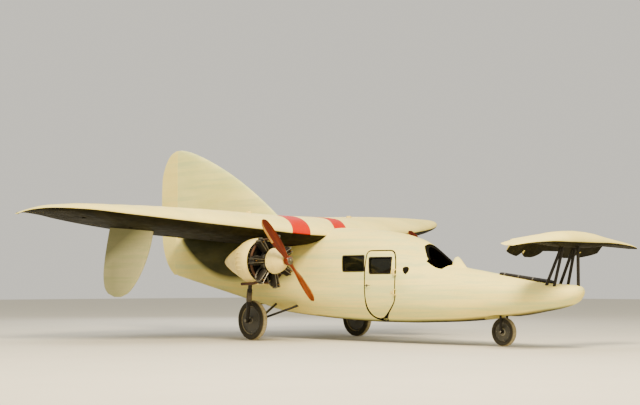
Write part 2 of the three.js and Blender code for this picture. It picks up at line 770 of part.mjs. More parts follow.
// A seat: cushion, back and pedestal in one side outline. The station is its front edge.
function seat(front, side, width, floor = FLOOR) {
  const shape = new THREE.Shape();
  shape.moveTo(front + 90, floor + SEAT_GAP);
  shape.lineTo(front + 90, floor + 190);
  shape.lineTo(front, floor + 200);
  shape.lineTo(front, floor + 290);
  shape.lineTo(front + 380, floor + 270);
  shape.lineTo(front + 450, floor + 680);
  shape.quadraticCurveTo(front + 500, floor + 720, front + 530, floor + 670);
  shape.lineTo(front + 460, floor + 190);
  shape.lineTo(front + 380, floor + 190);
  shape.lineTo(front + 380, floor + SEAT_GAP);
  return sidePrism(shape, side - width / 2, side + width / 2);
}

function addInterior() {
  add("pilot_seat", seat(2760, 0, 420), LEATHER);
  add("passenger_seat_front_left", seat(3560, 290, 400), LEATHER);
  add("passenger_seat_rear_left", seat(4560, 290, 400), LEATHER);
  add("passenger_seat_rear_right", seat(4560, -290, 400), LEATHER);
  const inside = fuselage(CABIN_START, CABIN_END, WALL + SEAT_GAP);
  add("instrument_panel", block(2440, 2465, -700, 700, 880, 1180).intersect(inside), PANEL);
  const column = bar(at(2640, 0, FLOOR + 20), at(2610, 0, 1040), 16);
  const foot = block(2590, 2690, -60, 60, FLOOR + SEAT_GAP, FLOOR + 40);
  const wheel = new THREE.TorusGeometry(135, 12, 6, 24).rotateY(Math.PI / 2).rotateY(radians(-20));
  const spokes = bar(at(2610, -135, 1040), at(2610, 135, 1040), 10, { sides: 8 });
  const ring = solid(wheel.translate(...at(2610, 0, 1040)));
  add("control_column", join(column, foot, ring, spokes), BLACK_PAINT);
}

// Deck duct of the elevator's control rods, from the cockpit to the foreplane's struts
function addControlDuct() {
  const duct = bar(at(590, 0, 998), at(1620, 0, 1140), 46, { end: 36, sides: 12 });
  add("control_duct", cut(duct, fuselage(NOSE_TIP, CABIN_START, -SEAT_GAP)), BLACK_PAINT);
}

// Engines and propellers

// station, radius
const NACELLE = [
  [5180, 0],
  [5180, 275],
  [5260, 350],
  [5380, 395],
  [5500, 385],
  [5700, 312],
  [5850, 248],
  [6000, 182],
  [6130, 118],
  [6220, 62],
  [6262, 28],
  [6275, 0],
];
const NOSE_COWL = [
  [4990, SHAFT_RADIUS + 6],
  [4990, 215],
  [4930, 205],
  [4840, 165],
  [4760, 110],
  [4720, 80],
  [4720, SHAFT_RADIUS + 6],
  [4990, SHAFT_RADIUS + 6],
];
const CRANKCASE = [
  [4990 + SEAT_GAP, 0],
  [4990 + SEAT_GAP, 195],
  [5150, 195],
  [5180 - SEAT_GAP, 170],
  [5180 - SEAT_GAP, 0],
];
// distance from the crankshaft, radius: barrel, finned middle and head
const CYLINDER = [
  [150, 0],
  [150, 52],
  [225, 52],
  [235, 74],
  [430, 76],
  [CYLINDER_REACH, 52],
  [CYLINDER_REACH, 0],
];

function cylinder(turn) {
  const points = CYLINDER.map(([reach, radius]) => new THREE.Vector2(radius, reach));
  const g = new THREE.LatheGeometry(points, 8).rotateX(Math.PI / 2).rotateX(turn);
  return g.translate(...at(CYLINDER_STATION, ENGINE_SIDE, ENGINE_HEIGHT));
}

function addEngine() {
  const nacelle = cut(turned(NACELLE, ENGINE_SIDE, ENGINE_HEIGHT, 24), wingForm(SEAT_GAP), gearSockets());
  const crank = turned(CRANKCASE, ENGINE_SIDE, ENGINE_HEIGHT, 24);
  const shaft = turned(
    [
      [5000, 0],
      [5000, SHAFT_RADIUS],
      [PROPELLER_STATION - 50, SHAFT_RADIUS],
      [PROPELLER_STATION - 50, 0],
    ],
    ENGINE_SIDE,
    ENGINE_HEIGHT,
    SHAFT_SIDES,
  );
  const cylinders = Array.from({ length: CYLINDERS }, (_, i) => {
    const turn = Math.PI / 2 + (2 * Math.PI * i) / CYLINDERS;
    return solid(cylinder(turn - Math.PI));
  });
  const engine = join(crank, shaft, ...cylinders);
  const cowl = turned(NOSE_COWL, ENGINE_SIDE, ENGINE_HEIGHT, 24);
  const set = { nacelle, engine, nose_cowl: cowl };
  const looks = { nacelle: CREAM, engine: SOOTY_STEEL, nose_cowl: CREAM };
  Object.entries(set).forEach(([name, body]) => {
    add(name + "_left", body, looks[name]);
    add(name + "_right", mirrored(body), looks[name]);
  });
}

// Blade sections: distance from the hub, chord, thickness, pitch in degrees
const BLADE = [
  [20, 70, 66, 60],
  [120, 84, 56, 46],
  [250, 128, 40, 33],
  [450, 168, 28, 20],
  [650, 165, 20, 14],
  [820, 124, 13, 11],
  [PROPELLER_RADIUS - 20, 68, 8, 10],
  [PROPELLER_RADIUS, 28, 6, 10],
];

function blade(angle, side) {
  const rings = BLADE.map(([reach, chord, thickness, pitch]) =>
    Array.from({ length: 8 }, (_, i) => {
      const turn = (2 * Math.PI * i) / 8;
      const [u, v] = [(chord / 2) * Math.cos(turn), (thickness / 2) * Math.sin(turn)];
      const twist = radians(pitch);
      const forward = u * Math.sin(twist) + v * Math.cos(twist);
      const across = u * Math.cos(twist) - v * Math.sin(twist);
      return new THREE.Vector3(forward, across, reach);
    }),
  );
  const g = loft(rings).rotateX(angle);
  return solid(g.translate(...at(PROPELLER_STATION, side, ENGINE_HEIGHT)));
}

function propeller(side, tilt) {
  const hub = turned(
    [
      [PROPELLER_STATION + 50, SHAFT_BORE],
      [PROPELLER_STATION + 50, 72],
      [PROPELLER_STATION - 42, 78],
      [PROPELLER_STATION - 50, 60],
      [PROPELLER_STATION - 50, SHAFT_BORE],
      [PROPELLER_STATION + 50, SHAFT_BORE],
    ],
    side,
    ENGINE_HEIGHT,
    SHAFT_SIDES,
  );
  const bore = turned(
    [
      [PROPELLER_STATION + 80, 0],
      [PROPELLER_STATION + 80, SHAFT_BORE],
      [PROPELLER_STATION - 80, SHAFT_BORE],
      [PROPELLER_STATION - 80, 0],
    ],
    side,
    ENGINE_HEIGHT,
    SHAFT_SIDES,
  );
  const blades = [0, Math.PI].map((half) => cut(blade(tilt + half, side), bore));
  return join(hub, ...blades);
}

function addPropellers() {
  add("propeller_left", propeller(ENGINE_SIDE, radians(PROPELLER_TILT.left)), VARNISHED_WOOD);
  add("propeller_right", propeller(-ENGINE_SIDE, radians(PROPELLER_TILT.right)), VARNISHED_WOOD);
}

// Wheels and legs

function tyre({ station, side = 0, radius, width, rim }) {
  const depth = radius - rim;
  const profile = Array.from({ length: 10 }, (_, i) => {
    const angle = (2 * Math.PI * i) / 9;
    const bulge = (width / 2) * power(Math.sin(angle), 0.85);
    return [rim + SEAT_GAP + (depth - SEAT_GAP) * (0.5 - 0.5 * Math.cos(angle)), bulge];
  });
  return wheelTurned(profile, station, side, radius, WHEEL_SIDES);
}

function wheelHub({ station, side = 0, radius, width, rim, bore }) {
  const half = width / 2;
  const profile = [
    [bore + SEAT_GAP, -half * 0.85],
    [bore + 30, -half * 0.85],
    [rim * 0.85, -half * 0.35],
    [rim, -half * 0.5],
    [rim, half * 0.5],
    [rim * 0.85, half * 0.35],
    [bore + 30, half * 0.85],
    [bore + SEAT_GAP, half * 0.85],
    [bore + SEAT_GAP, -half * 0.85],
  ];
  return wheelTurned(profile, station, side, radius, WHEEL_SIDES);
}

function addWheels() {
  add("nose_tyre", tyre(NOSE_WHEEL), TYRE_RUBBER);
  add("nose_hub", wheelHub(NOSE_WHEEL), WHEEL_PAINT);
  ["left", "right"].forEach((name) => {
    const side = (name === "left" ? 1 : -1) * MAIN_WHEEL.side;
    add("main_tyre_" + name, tyre({ ...MAIN_WHEEL, side }), TYRE_RUBBER);
    add("main_hub_" + name, wheelHub({ ...MAIN_WHEEL, side }), WHEEL_PAINT);
  });
}

function addNoseFork() {
  const { station, radius, width, bore } = NOSE_WHEEL;
  const reach = width / 2 + 26;
  const crown = radius * 2 + 28;
  const spot = (side, height) => at(station, side, height);
  const blades = [1, -1].map((side) =>
    bar(spot(side * reach, radius), spot(side * reach, crown + 20), 13, { flat: 1.7 }),
  );
  const ends = [1, -1].map((side) =>
    bar(spot(side * (reach - 13), radius), spot(side * (reach + 13), radius), 30, { sides: 16 }),
  );
  const axle = bar(spot(-reach - 18, radius), spot(reach + 18, radius), bore, { sides: 16 });
  const head = block(station - 45, station + 45, -reach - 18, reach + 18, crown, crown + 36);
  const stem = bar(at(station, 0, crown + 20), at(station, 0, FORK_WELL_TOP - SEAT_GAP), 38, { sides: 20 });
  const lug = block(station - 75, station - 35, -22, 22, crown + 2, crown + 32);
  add("nose_fork", join(head, ...blades, ...ends, axle, stem, lug), BLACK_PAINT);
}

// Main leg: outside the wheel a shock leg up to the nacelle, inside it two braces to the
// fuselage's lower edge, and the axle that joins their two knuckles.
const LEG = {
  reach: 125,
  top: { station: 5760, side: 1650, height: 1210, radius: 30 },
  braces: [5780, 6500],
  foot: { side: 395, height: 640, radius: 20 },
};

const knuckleAt = (out) => at(MAIN_WHEEL.station, MAIN_WHEEL.side + out * LEG.reach, MAIN_WHEEL.radius);

// The leg's bars, grown all round for the sockets that take them.
function legParts(grow) {
  const reach = (from, to, size, options) => {
    const along = to.clone().sub(from).normalize();
    return bar(from, to.clone().addScaledVector(along, grow), size + grow, options);
  };
  const { top, foot } = LEG;
  const shock = at(top.station, top.side, top.height);
  return [
    reach(knuckleAt(1), shock, top.radius, { flat: 1.3, sides: 16 }),
    ...LEG.braces.map((place) =>
      reach(knuckleAt(-1), at(place, foot.side, foot.height), foot.radius, { flat: 1.4 }),
    ),
  ];
}

function gearSockets() {
  const parts = legParts(SEAT_GAP);
  return join(...parts, ...parts.map(mirrored));
}

function addMainLegs() {
  const side = (out, extra) => knuckleAt(out).add(new THREE.Vector3(0, out * extra, 0));
  const axle = bar(side(-1, 10), side(1, 10), MAIN_WHEEL.bore, { sides: 16 });
  const knuckles = [-1, 1].map((out) => bar(side(out, -32), side(out, 34), 44, { sides: 16 }));
  const leg = join(...legParts(0), axle, ...knuckles);
  add("main_leg_left", leg, BLACK_PAINT);
  add("main_leg_right", mirrored(leg), BLACK_PAINT);
}

addFuselage();
addDoorAndWindows();
addWindscreenFairing();
addInterior();
addControlDuct();
addWing();
addTail();
addUnderFins();
addForeplane();
addForeplaneStruts();
addEngine();
addPropellers();
addWheels();
addNoseFork();
addMainLegs();

export default aircraft;
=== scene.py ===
"""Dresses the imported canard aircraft: smooth skins, engines, gear, cabin, trim, studio and camera.

Places are in metres in the aircraft's own frame. The airframe's tables are in millimetres:
stations are measured backwards from its foremost point, and sides are positive to port.
"""

from math import copysign, cos, exp, pi, radians, sin

import bmesh
import bpy
import numpy as np
from mathutils import Matrix, Vector


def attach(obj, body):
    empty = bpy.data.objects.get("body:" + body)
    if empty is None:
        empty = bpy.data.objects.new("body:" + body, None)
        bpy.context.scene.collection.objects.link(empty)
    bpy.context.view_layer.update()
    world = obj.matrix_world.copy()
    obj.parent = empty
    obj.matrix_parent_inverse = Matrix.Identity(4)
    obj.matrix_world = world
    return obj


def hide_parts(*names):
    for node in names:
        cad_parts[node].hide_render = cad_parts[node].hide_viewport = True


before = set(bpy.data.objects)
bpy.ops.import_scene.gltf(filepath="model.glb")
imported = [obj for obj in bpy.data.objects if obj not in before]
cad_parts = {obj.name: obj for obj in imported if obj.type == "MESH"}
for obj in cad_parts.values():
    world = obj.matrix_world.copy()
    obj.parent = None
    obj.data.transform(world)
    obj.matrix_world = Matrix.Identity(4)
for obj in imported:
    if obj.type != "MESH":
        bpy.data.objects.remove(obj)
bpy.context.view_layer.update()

SIDES = (("left", 1), ("right", -1))
FORE, AFT, UP = Vector((1, 0, 0)), Vector((-1, 0, 0)), Vector((0, 0, 1))
LENGTH = 10530.0
HALF_SPAN = 5000.0
NOSE_TIP = 60.0
CABIN_START, CABIN_END = 2050.0, 5500.0
WALL = 45.0
FLOOR, CEILING = 580.0, 1700.0
# What one skin keeps clear of the next where they meet, and round a moving surface.
SKIN_ROOM, HINGE_ROOM = 0.3, 7.0
HINGE, HINGE_RADIUS = 10010.0, 42.0
TAIL_TOP = 3700.0
ENGINE_SIDE, ENGINE_HEIGHT = 1800.0, 1370.0
ENGINE_STATION, NOSE_COWL_STATION = 5070.0, 4990.0
PROPELLER_STATION, PROPELLER_RADIUS = 4640.0, 880.0
PROPELLER_TILT = {"right": 41.0, "left": 50.0}
ELEVATOR_HINGE, ELEVATOR_DROOP, ELEVATOR_END = 490.0, 50.0, 1150.0
ELEVATOR_AXIS_HEIGHT = 1612.0
NOSE_WHEEL = {"station": 1560.0, "radius": 230.0, "width": 110.0, "rim": 150.0}
MAIN_WHEEL = {"station": 6130.0, "radius": 350.0, "width": 140.0, "rim": 235.0}
MAIN_WHEEL_SIDE = 1300.0
# The door's outline in station and height, before its corners are rounded.
DOOR_EDGE = [(3330, 765), (3330, 855), (3330, 1200), (3385, 1400), (3465, 1533), (3640, 1533)]
DOOR_EDGE += [(3840, 1533), (3990, 1533), (3990, 1400), (3990, 760), (3985, 480), (3905, 400)]
DOOR_EDGE += [(3760, 425), (3560, 520), (3378, 668)]
DOOR_SHOULDER, DOOR_FOOT = 760.0, 420.0
# The gap round the door and at the rear of its foot, and the outer edge of the black strip of painted shade
# in it.
DOOR_ROOM, DOOR_SHADE_STRIP = (12, 45), (22, 55)
DOOR_HINGES, DOOR_HINGE_PLACE = (850, 1180), (3326, -668)
# The sides that the starboard door's outline is cut between.
DOOR_SIDES = (-900, -250)
# The stations with windows, the depths under the skin of panes, frames and the door's shade strip,
# and how far a frame reaches past its pane and over it.
GLAZED = (3200, 4800)
PANE_DEPTHS, FRAME_DEPTHS, SHADE_STRIP_DEPTH = (17.5, 27.5), (-4.0, 2.0), -2.0
FRAME_OUTSIDE, FRAME_INSIDE = 15, 7
# station front and back at the foot, low, high, how far the head stands behind the foot, side
WINDOWS = {
    "window_door": (3420, 3885, 1165, 1425, 42, -1),
    "window_right_rear": (4020, 4520, 1206, 1462, 40, -1),
    "window_left_rear": (4020, 4520, 1206, 1462, 40, 1),
    "window_left_front": (3420, 3885, 1165, 1425, 42, 1),
}

# station, keel height, crest height, half width, height of the widest line,
# squareness below the widest line, squareness above it
FUSELAGE = [
    (NOSE_TIP, 845, 905, 30, 875, 2.0, 2.0),
    (NOSE_TIP + 25, 790, 942, 100, 870, 2.0, 2.0),
    (170, 705, 968, 180, 855, 2.1, 2.1),
    (400, 625, 978, 260, 830, 2.2, 2.2),
    (750, 560, 1005, 345, 800, 2.3, 2.3),
    (1150, 495, 1062, 425, 790, 2.4, 2.4),
    (1600, 447, 1130, 500, 790, 2.5, 2.4),
    (2050, 400, 1200, 560, 800, 2.6, 2.4),
    (2450, 372, 1268, 600, 820, 2.6, 2.2),
    (2680, 362, 1345, 615, 840, 2.6, 1.8),
    (2980, 351, 1590, 630, 880, 2.6, 1.5),
    (3180, 343, 1680, 640, 920, 2.6, 1.8),
    (3450, 338, 1768, 650, 945, 2.6, 2.3),
    (4000, 337, 1885, 660, 960, 2.6, 2.6),
    (4600, 350, 1950, 660, 970, 2.6, 2.6),
    (5150, 375, 1980, 650, 980, 2.6, 2.6),
    (5500, 397, 1960, 635, 990, 2.6, 2.6),
    (6400, 467, 1925, 560, 1040, 2.6, 2.6),
    (7300, 632, 1925, 455, 1120, 2.6, 2.6),
    (8200, 805, 1925, 335, 1220, 2.5, 2.5),
    (9100, 982, 1925, 200, 1330, 2.4, 2.4),
    (9750, 1113, 1925, 95, 1430, 2.2, 2.2),
    (HINGE + 20, 1170, 1925, 48, 1480, 2.1, 2.1),
]
FUSELAGE_STEP, FUSELAGE_SIDES = 50.0, 96
# Sections lie closer together where the nose closes.
NOSE_STATIONS = [NOSE_TIP, 63, 67, 72, 78, 85, 95, 110]
# side, leading station, trailing station, thickness share, leading and trailing edge height
WING = [
    (0, 5150, 9700, 0.125, 1860, 1935),
    (650, 5170, 9680, 0.125, 1865, 1945),
    (1800, 5400, 9470, 0.125, 1950, 2015),
    (2900, 5830, 9080, 0.125, 2055, 2085),
    (3800, 6350, 8630, 0.12, 2160, 2145),
    (4350, 6830, 8310, 0.115, 2235, 2185),
    (4700, 7250, 8110, 0.11, 2255, 2195),
    (4900, 7610, 8010, 0.1, 2225, 2180),
    (HALF_SPAN, 7860, 7960, 0.12, 2160, 2160),
]
WING_CAMBER = 0.02
FOREPLANE = [
    (0, 0, 800, 0.32, 1640, 1640),
    (350, 0, 800, 0.29, 1635, 1635),
    (700, 4, 785, 0.19, 1623, 1623),
    (1000, 14, 720, 0.14, 1605, 1605),
    (1250, 30, 600, 0.12, 1585, 1585),
    (1450, 60, 410, 0.11, 1560, 1560),
    (1560, 110, 260, 0.12, 1540, 1540),
]
FOREPLANE_CAMBER, STRUT_TOP = 0.03, 1660
# height, leading station, trailing station, thickness share
TAIL = [
    (1932, 6400, 10500, 0.04),
    (2200, 6830, 10515, 0.04),
    (2450, 7180, 10525, 0.042),
    (2800, 7720, LENGTH, 0.045),
    (3140, 8330, 10512, 0.052),
    (3370, 8830, 10435, 0.065),
    (3540, 9260, 10325, 0.08),
    (3650, 9600, 10195, 0.1),
    (TAIL_TOP, 9850, 10050, 0.14),
]
LOWER_RUDDER = [
    (1175, 9880, 10090, 0.25),
    (1290, 9800, 10230, 0.16),
    (1450, 9760, 10350, 0.12),
    (1650, 9740, 10440, 0.105),
    (1850, 9720, 10490, 0.1),
    (1992, 9720, 10503, 0.1),
]
UNDER_FIN_SIDE = 2600.0
UNDER_FIN = [
    (750, 8270, 8480, 0.12),
    (775, 8160, 8600, 0.12),
    (840, 8020, 8720, 0.12),
    (950, 7880, 8800, 0.12),
    (1150, 7690, 8830, 0.12),
    (1400, 7520, 8800, 0.12),
    (1700, 7380, 8730, 0.12),
    (2080, 7280, 8620, 0.12),
]
# distance from the hub, chord, thickness, pitch in degrees
BLADE = [
    (20, 70, 66, 60),
    (120, 84, 56, 46),
    (250, 128, 40, 33),
    (450, 168, 28, 20),
    (650, 165, 20, 14),
    (820, 124, 13, 11),
    (860, 68, 8, 10),
    (PROPELLER_RADIUS, 28, 6, 10),
]
# station, radius
NACELLE_START, NACELLE_END = 5180, 6262
NACELLE = [(NACELLE_START, 275), (5260, 350), (5380, 395), (5500, 385), (5700, 312), (5850, 248)]
NACELLE += [(6000, 182), (6130, 118), (6220, 62), (NACELLE_END, 28)]


# Shapes


def at(station, side, height):
    """A point in metres from a station, a side and a height in millimetres."""
    return Vector(((LENGTH / 2 - station) / 1000, side / 1000, height / 1000))


def side_place(station, height, side):
    return at(station, side, height)


def upright_place(side):
    return lambda station, offset, height: at(station, side + offset, height)


def circle(count, offset=0.0):
    """Cosines and sines of evenly spaced angles."""
    angles = [2 * pi * (i + offset) / count for i in range(count)]
    return [(cos(angle), sin(angle)) for angle in angles]


def power(value, exponent):
    """A power that keeps the value's sign."""
    return np.sign(value) * np.abs(value) ** exponent


def smooth_rows(rows, places):
    """The rows of a table at other values of its first column, on curves without overshoot."""
    table = np.array(rows, float)
    x = table[:, 0]
    places = np.asarray(places, float)
    gaps = np.diff(x)
    part = np.clip(np.searchsorted(x, places, side="right") - 1, 0, len(x) - 2)
    h = gaps[part]
    t = (places - x[part]) / h
    columns = [places]
    for column in table[:, 1:].T:
        steep = np.diff(column) / gaps
        slope = np.zeros(len(x))
        slope[0], slope[-1] = steep[0], steep[-1]
        for i in range(1, len(x) - 1):
            if steep[i - 1] * steep[i] > 0:
                a, b = 2 * gaps[i] + gaps[i - 1], gaps[i] + 2 * gaps[i - 1]
                slope[i] = (a + b) / (a / steep[i - 1] + b / steep[i])
        low, high = column[part], column[part + 1]
        columns.append(
            low * (2 * t**3 - 3 * t**2 + 1)
            + high * (3 * t**2 - 2 * t**3)
            + slope[part] * h * (t**3 - 2 * t**2 + t)
            + slope[part + 1] * h * (t**3 - t**2)
        )
    return np.stack(columns, 1)


def in_scene(mesh):
    made = bpy.data.objects.new("part", mesh)
    bpy.context.scene.collection.objects.link(made)
    return made


def new_object(vertices, faces):
    mesh = bpy.data.meshes.new("part")
    mesh.from_pydata([tuple(v) for v in vertices], [], faces)
    mesh.update()
    return in_scene(mesh)


def worked_object(work):
    mesh = bpy.data.meshes.new("part")
    work.to_mesh(mesh)
    work.free()
    return in_scene(mesh)


def outward(made):
    """Turns a closed mesh's faces outwards."""
    work = bmesh.new()
    work.from_mesh(made.data)
    bmesh.ops.remove_doubles(work, verts=work.verts, dist=1e-6)
    bmesh.ops.recalc_face_normals(work, faces=work.faces)
    work.to_mesh(made.data)
    work.free()
    return made


def loft(rings, closed=False):
    """A body through rings of equal length, with a face at both ends or closed to a loop."""
    rings = np.asarray(rings, float)
    count, size, _ = rings.shape
    faces = []
    for i in range(count if closed else count - 1):
        a, b = i * size, (i + 1) % count * size
        for j in range(size):
            k = (j + 1) % size
            faces.append((a + j, a + k, b + k, b + j))
    if not closed:
        faces += [tuple(range(size)), tuple(range((count - 1) * size, count * size))]
    return outward(new_object(rings.reshape(-1, 3), faces))


def remove(*objects):
    for made in objects:
        bpy.data.objects.remove(made, do_unlink=True)


def baked(made):
    """Applies an object's modifiers to its mesh."""
    graph = bpy.context.evaluated_depsgraph_get()
    made.data = bpy.data.meshes.new_from_object(made.evaluated_get(graph))
    made.modifiers.clear()
    return made


def boolean(made, *tools, how="DIFFERENCE"):
    for tool in tools:
        change = made.modifiers.new("boolean", "BOOLEAN")
        change.operation, change.solver, change.object = how, "EXACT", tool
    return baked(made)


def boolean_union(first, second):
    made = boolean(first, second, how="UNION")
    remove(second)
    return made


def joined(parts):
    """Joins objects into one mesh, keeping their materials."""
    work = bmesh.new()
    materials = []
    for part in parts:
        slots = [slot.material for slot in part.material_slots]
        materials += [material for material in slots if material not in materials]
        start = len(work.faces)
        copy = part.data.copy()
        copy.transform(part.matrix_world)
        work.from_mesh(copy)
        work.faces.ensure_lookup_table()
        for face in work.faces[start:]:
            face.material_index = materials.index(slots[min(face.material_index, len(slots) - 1)])
        bpy.data.meshes.remove(copy)
    made = worked_object(work)
    for material in materials:
        made.data.materials.append(material)
    remove(*parts)
    return made


def prism(outline, start, end, place=side_place):
    """A flat outline, thickened from one value of its third coordinate to another."""
    size = len(outline)
    vertices = [place(u, v, w) for w in (start, end) for u, v in outline]
    faces = [(j, (j + 1) % size, size + (j + 1) % size, size + j) for j in range(size)]
    faces += [tuple(range(size)), tuple(range(size, 2 * size))]
    return outward(new_object(vertices, faces))


def box(front, back, right, left, low, high):
    return prism([(front, low), (back, low), (back, high), (front, high)], right, left)


def curve_points(start, bend, end, steps=10):
    """Points of a bend with one control point, without its start."""
    made = []
    for i in range(1, steps + 1):
        t = i / steps
        spot = ((1 - t) ** 2 * a + 2 * t * (1 - t) * b + t * t * c for a, b, c in zip(start, bend, end))
        made.append(tuple(spot))
    return made


def rounded_outline(front, back, low, high, radius):
    corners = [(front, low), (back, low), (back, high), (front, high)]
    points = []
    for i, (u, v) in enumerate(corners):
        near = (corners[i - 1], corners[(i + 1) % 4])
        start, end = [(u + radius * np.sign(p - u), v + radius * np.sign(q - v)) for p, q in near]
        points += [start, *curve_points(start, (u, v), end, steps=6)]
    return points


def corner_cut(corners, rounds=4):
    """Rounds a closed outline by cutting a quarter off both ends of each edge, again and again."""
    points = np.array(corners, float)
    for _ in range(rounds):
        after = np.roll(points, -1, axis=0)
        points = np.stack([0.75 * points + 0.25 * after, 0.25 * points + 0.75 * after], 1).reshape(-1, 2)
    return points


def bar(start, end, radius, end_radius=None, sides=24, flat=1.0):
    """A round or flattened bar between two points in metres. Flat bars are long fore and aft."""
    along = (end - start).normalized()
    fore = UP if abs(along.x) > 0.9 else FORE
    across = along.cross(fore).normalized()
    fore = across.cross(along)
    rings = []
    for centre, size in ((start, radius), (end, radius if end_radius is None else end_radius)):
        rings.append([centre + fore * size * flat * c + across * size * s for c, s in circle(sides)])
    return loft(rings)


def tube(points, radius, sides=12):
    """A round tube along points in metres, of one radius or one for each point."""
    rings = []
    normal = Vector((0.13, 0.31, 0.94))
    for i, point in enumerate(points):
        along = (points[min(i + 1, len(points) - 1)] - points[max(i - 1, 0)]).normalized()
        normal = (normal - along * normal.dot(along)).normalized()
        other = along.cross(normal)
        size = radius[i] if hasattr(radius, "__len__") else radius
        rings.append([point + normal * size * c + other * size * s for c, s in circle(sides)])
    return loft(rings)


def turned(profile, origin, axis, sides=48, closed=False):
    """A turned body. Profile rows are distance along the axis and radius, in metres."""
    turn = UP.rotation_difference(axis).to_matrix()
    rings = []
    for reach, radius in profile:
        rings.append([origin + turn @ Vector((radius * c, radius * s, reach)) for c, s in circle(sides)])
    return loft(rings, closed)


def brick(centre, size, turn=None, bevel=0.15):
    """A box with bevelled edges. Its size is in metres along its own axes."""
    work = bmesh.new()
    bmesh.ops.create_cube(work, size=1.0)
    bmesh.ops.scale(work, vec=size, verts=work.verts)
    wide = min(size) * bevel
    bmesh.ops.bevel(work, geom=work.edges, offset=wide, segments=2, affect="EDGES", profile=0.6)
    if turn is not None:
        bmesh.ops.transform(work, matrix=turn.to_4x4(), verts=work.verts)
    bmesh.ops.translate(work, vec=centre, verts=work.verts)
    return worked_object(work)


def foil_half(x):
    return 5 * (0.2969 * np.sqrt(x) - 0.126 * x - 0.3516 * x**2 + 0.2843 * x**3 - 0.1015 * x**4)


def surface(rows, place=side_place, camber=0.0, grow=0.0, steps=36, step=60.0, ribs=0.0, sag=0.0):
    """A lofted surface with many sections. The skin sags a little between ribs behind the nose."""
    rows = sorted(rows)
    low, high = rows[0][0], rows[-1][0]
    inner = np.linspace(low, high, max(2, int(round((high - low) / step))) + 1)
    near_tip = high - (high - inner[-2]) * np.array([0.5, 0.25, 0.1])
    spans = np.unique(np.concatenate([inner, near_tip]))
    shares = (1 - np.cos(np.pi * np.arange(steps + 1) / steps)) / 2
    rings = []
    for row in smooth_rows(rows, spans):
        span, lead, trail, thickness = row[:4]
        lead_offset, trail_offset = (row[4], row[5]) if len(row) > 4 else (0.0, 0.0)
        chord = trail - lead + 2 * grow
        share = thickness + 2 * grow / (trail - lead)
        line = lead_offset + (trail_offset - lead_offset) * shares
        bend = 4 * camber * shares * (1 - shares) * chord
        half = share * foil_half(shares) * chord
        if ribs:
            dip = 0.5 - 0.5 * cos(2 * pi * span / ribs)
            behind = np.clip((shares - 0.16) / 0.06, 0, 1) * np.clip((1 - shares) / 0.05, 0, 1)
            half = np.maximum(half - sag * dip * behind, half * 0.4)
        stations = lead - grow + shares * chord
        top = [place(s, l + b + h, span) for s, l, b, h in zip(stations, line, bend, half)]
        under = [place(s, l + b - h, span) for s, l, b, h in zip(stations, line, bend, half)]
        rings.append(top[::-1] + under[1:])
    return loft(rings)


def both_sides(rows):
    return sorted([(-row[0], *row[1:]) for row in rows if row[0]] + list(rows))


def depth_at(rows, side, station, camber):
    """Middle height and half thickness of a surface at a place on it, between straight rows."""
    table = np.array(rows, float)
    row = [np.interp(side, table[:, 0], table[:, i]) for i in range(table.shape[1])]
    _, lead, trail, thickness, lead_height, trail_height = row
    chord = trail - lead
    x = (station - lead) / chord
    height = lead_height + (trail_height - lead_height) * x + 4 * camber * x * (1 - x) * chord
    return height, thickness * float(foil_half(x)) * chord


def fuselage(start, end, inset=0.0):
    """The fuselage between two stations, less what it is inset by all round."""
    stations = np.linspace(start, end, max(2, int(round((end - start) / FUSELAGE_STEP))) + 1)
    if start == NOSE_TIP:
        behind = stations[stations > NOSE_STATIONS[-1] + 5]
        stations = np.unique(np.concatenate([NOSE_STATIONS, behind]))
    angles = 2 * np.pi * (np.arange(FUSELAGE_SIDES) + 0.5) / FUSELAGE_SIDES
    c, s = np.cos(angles), np.sin(angles)
    rings = []
    for station, keel, crest, half, widest, below, above in smooth_rows(FUSELAGE, stations):
        rise = np.where(s > 0, crest - inset - widest, widest - keel - inset)
        square = np.where(s > 0, above, below)
        side = (half - inset) * power(c, 2 / square)
        height = widest + rise * power(s, 2 / square)
        rings.append([at(station, y, z) for y, z in zip(side, height)])
    return loft(rings)


def skin_side(station, height):
    """The place on the starboard side at a station and height, in metres, and its direction."""
    _, keel, crest, half, widest, below, above = smooth_rows(FUSELAGE, [station])[0]
    rise, square = (crest - widest, above) if height > widest else (widest - keel, below)
    share = min(1.0, abs(height - widest) / rise)
    side = half * (1 - share**square) ** (1 / square)
    slope = share ** (square - 1) / max(1e-3, (side / half) ** (square - 1)) * half / rise
    normal = Vector((0, -1, copysign(slope, height - widest))).normalized()
    return at(station, -side, height), normal


# Materials


def rgb(text):
    """A linear colour from six hexadecimal digits."""
    made = []
    for i in (0, 2, 4):
        value = int(text[i : i + 2], 16) / 255
        made.append(value / 12.92 if value <= 0.04045 else ((value + 0.055) / 1.055) ** 2.4)
    return (*made, 1.0)


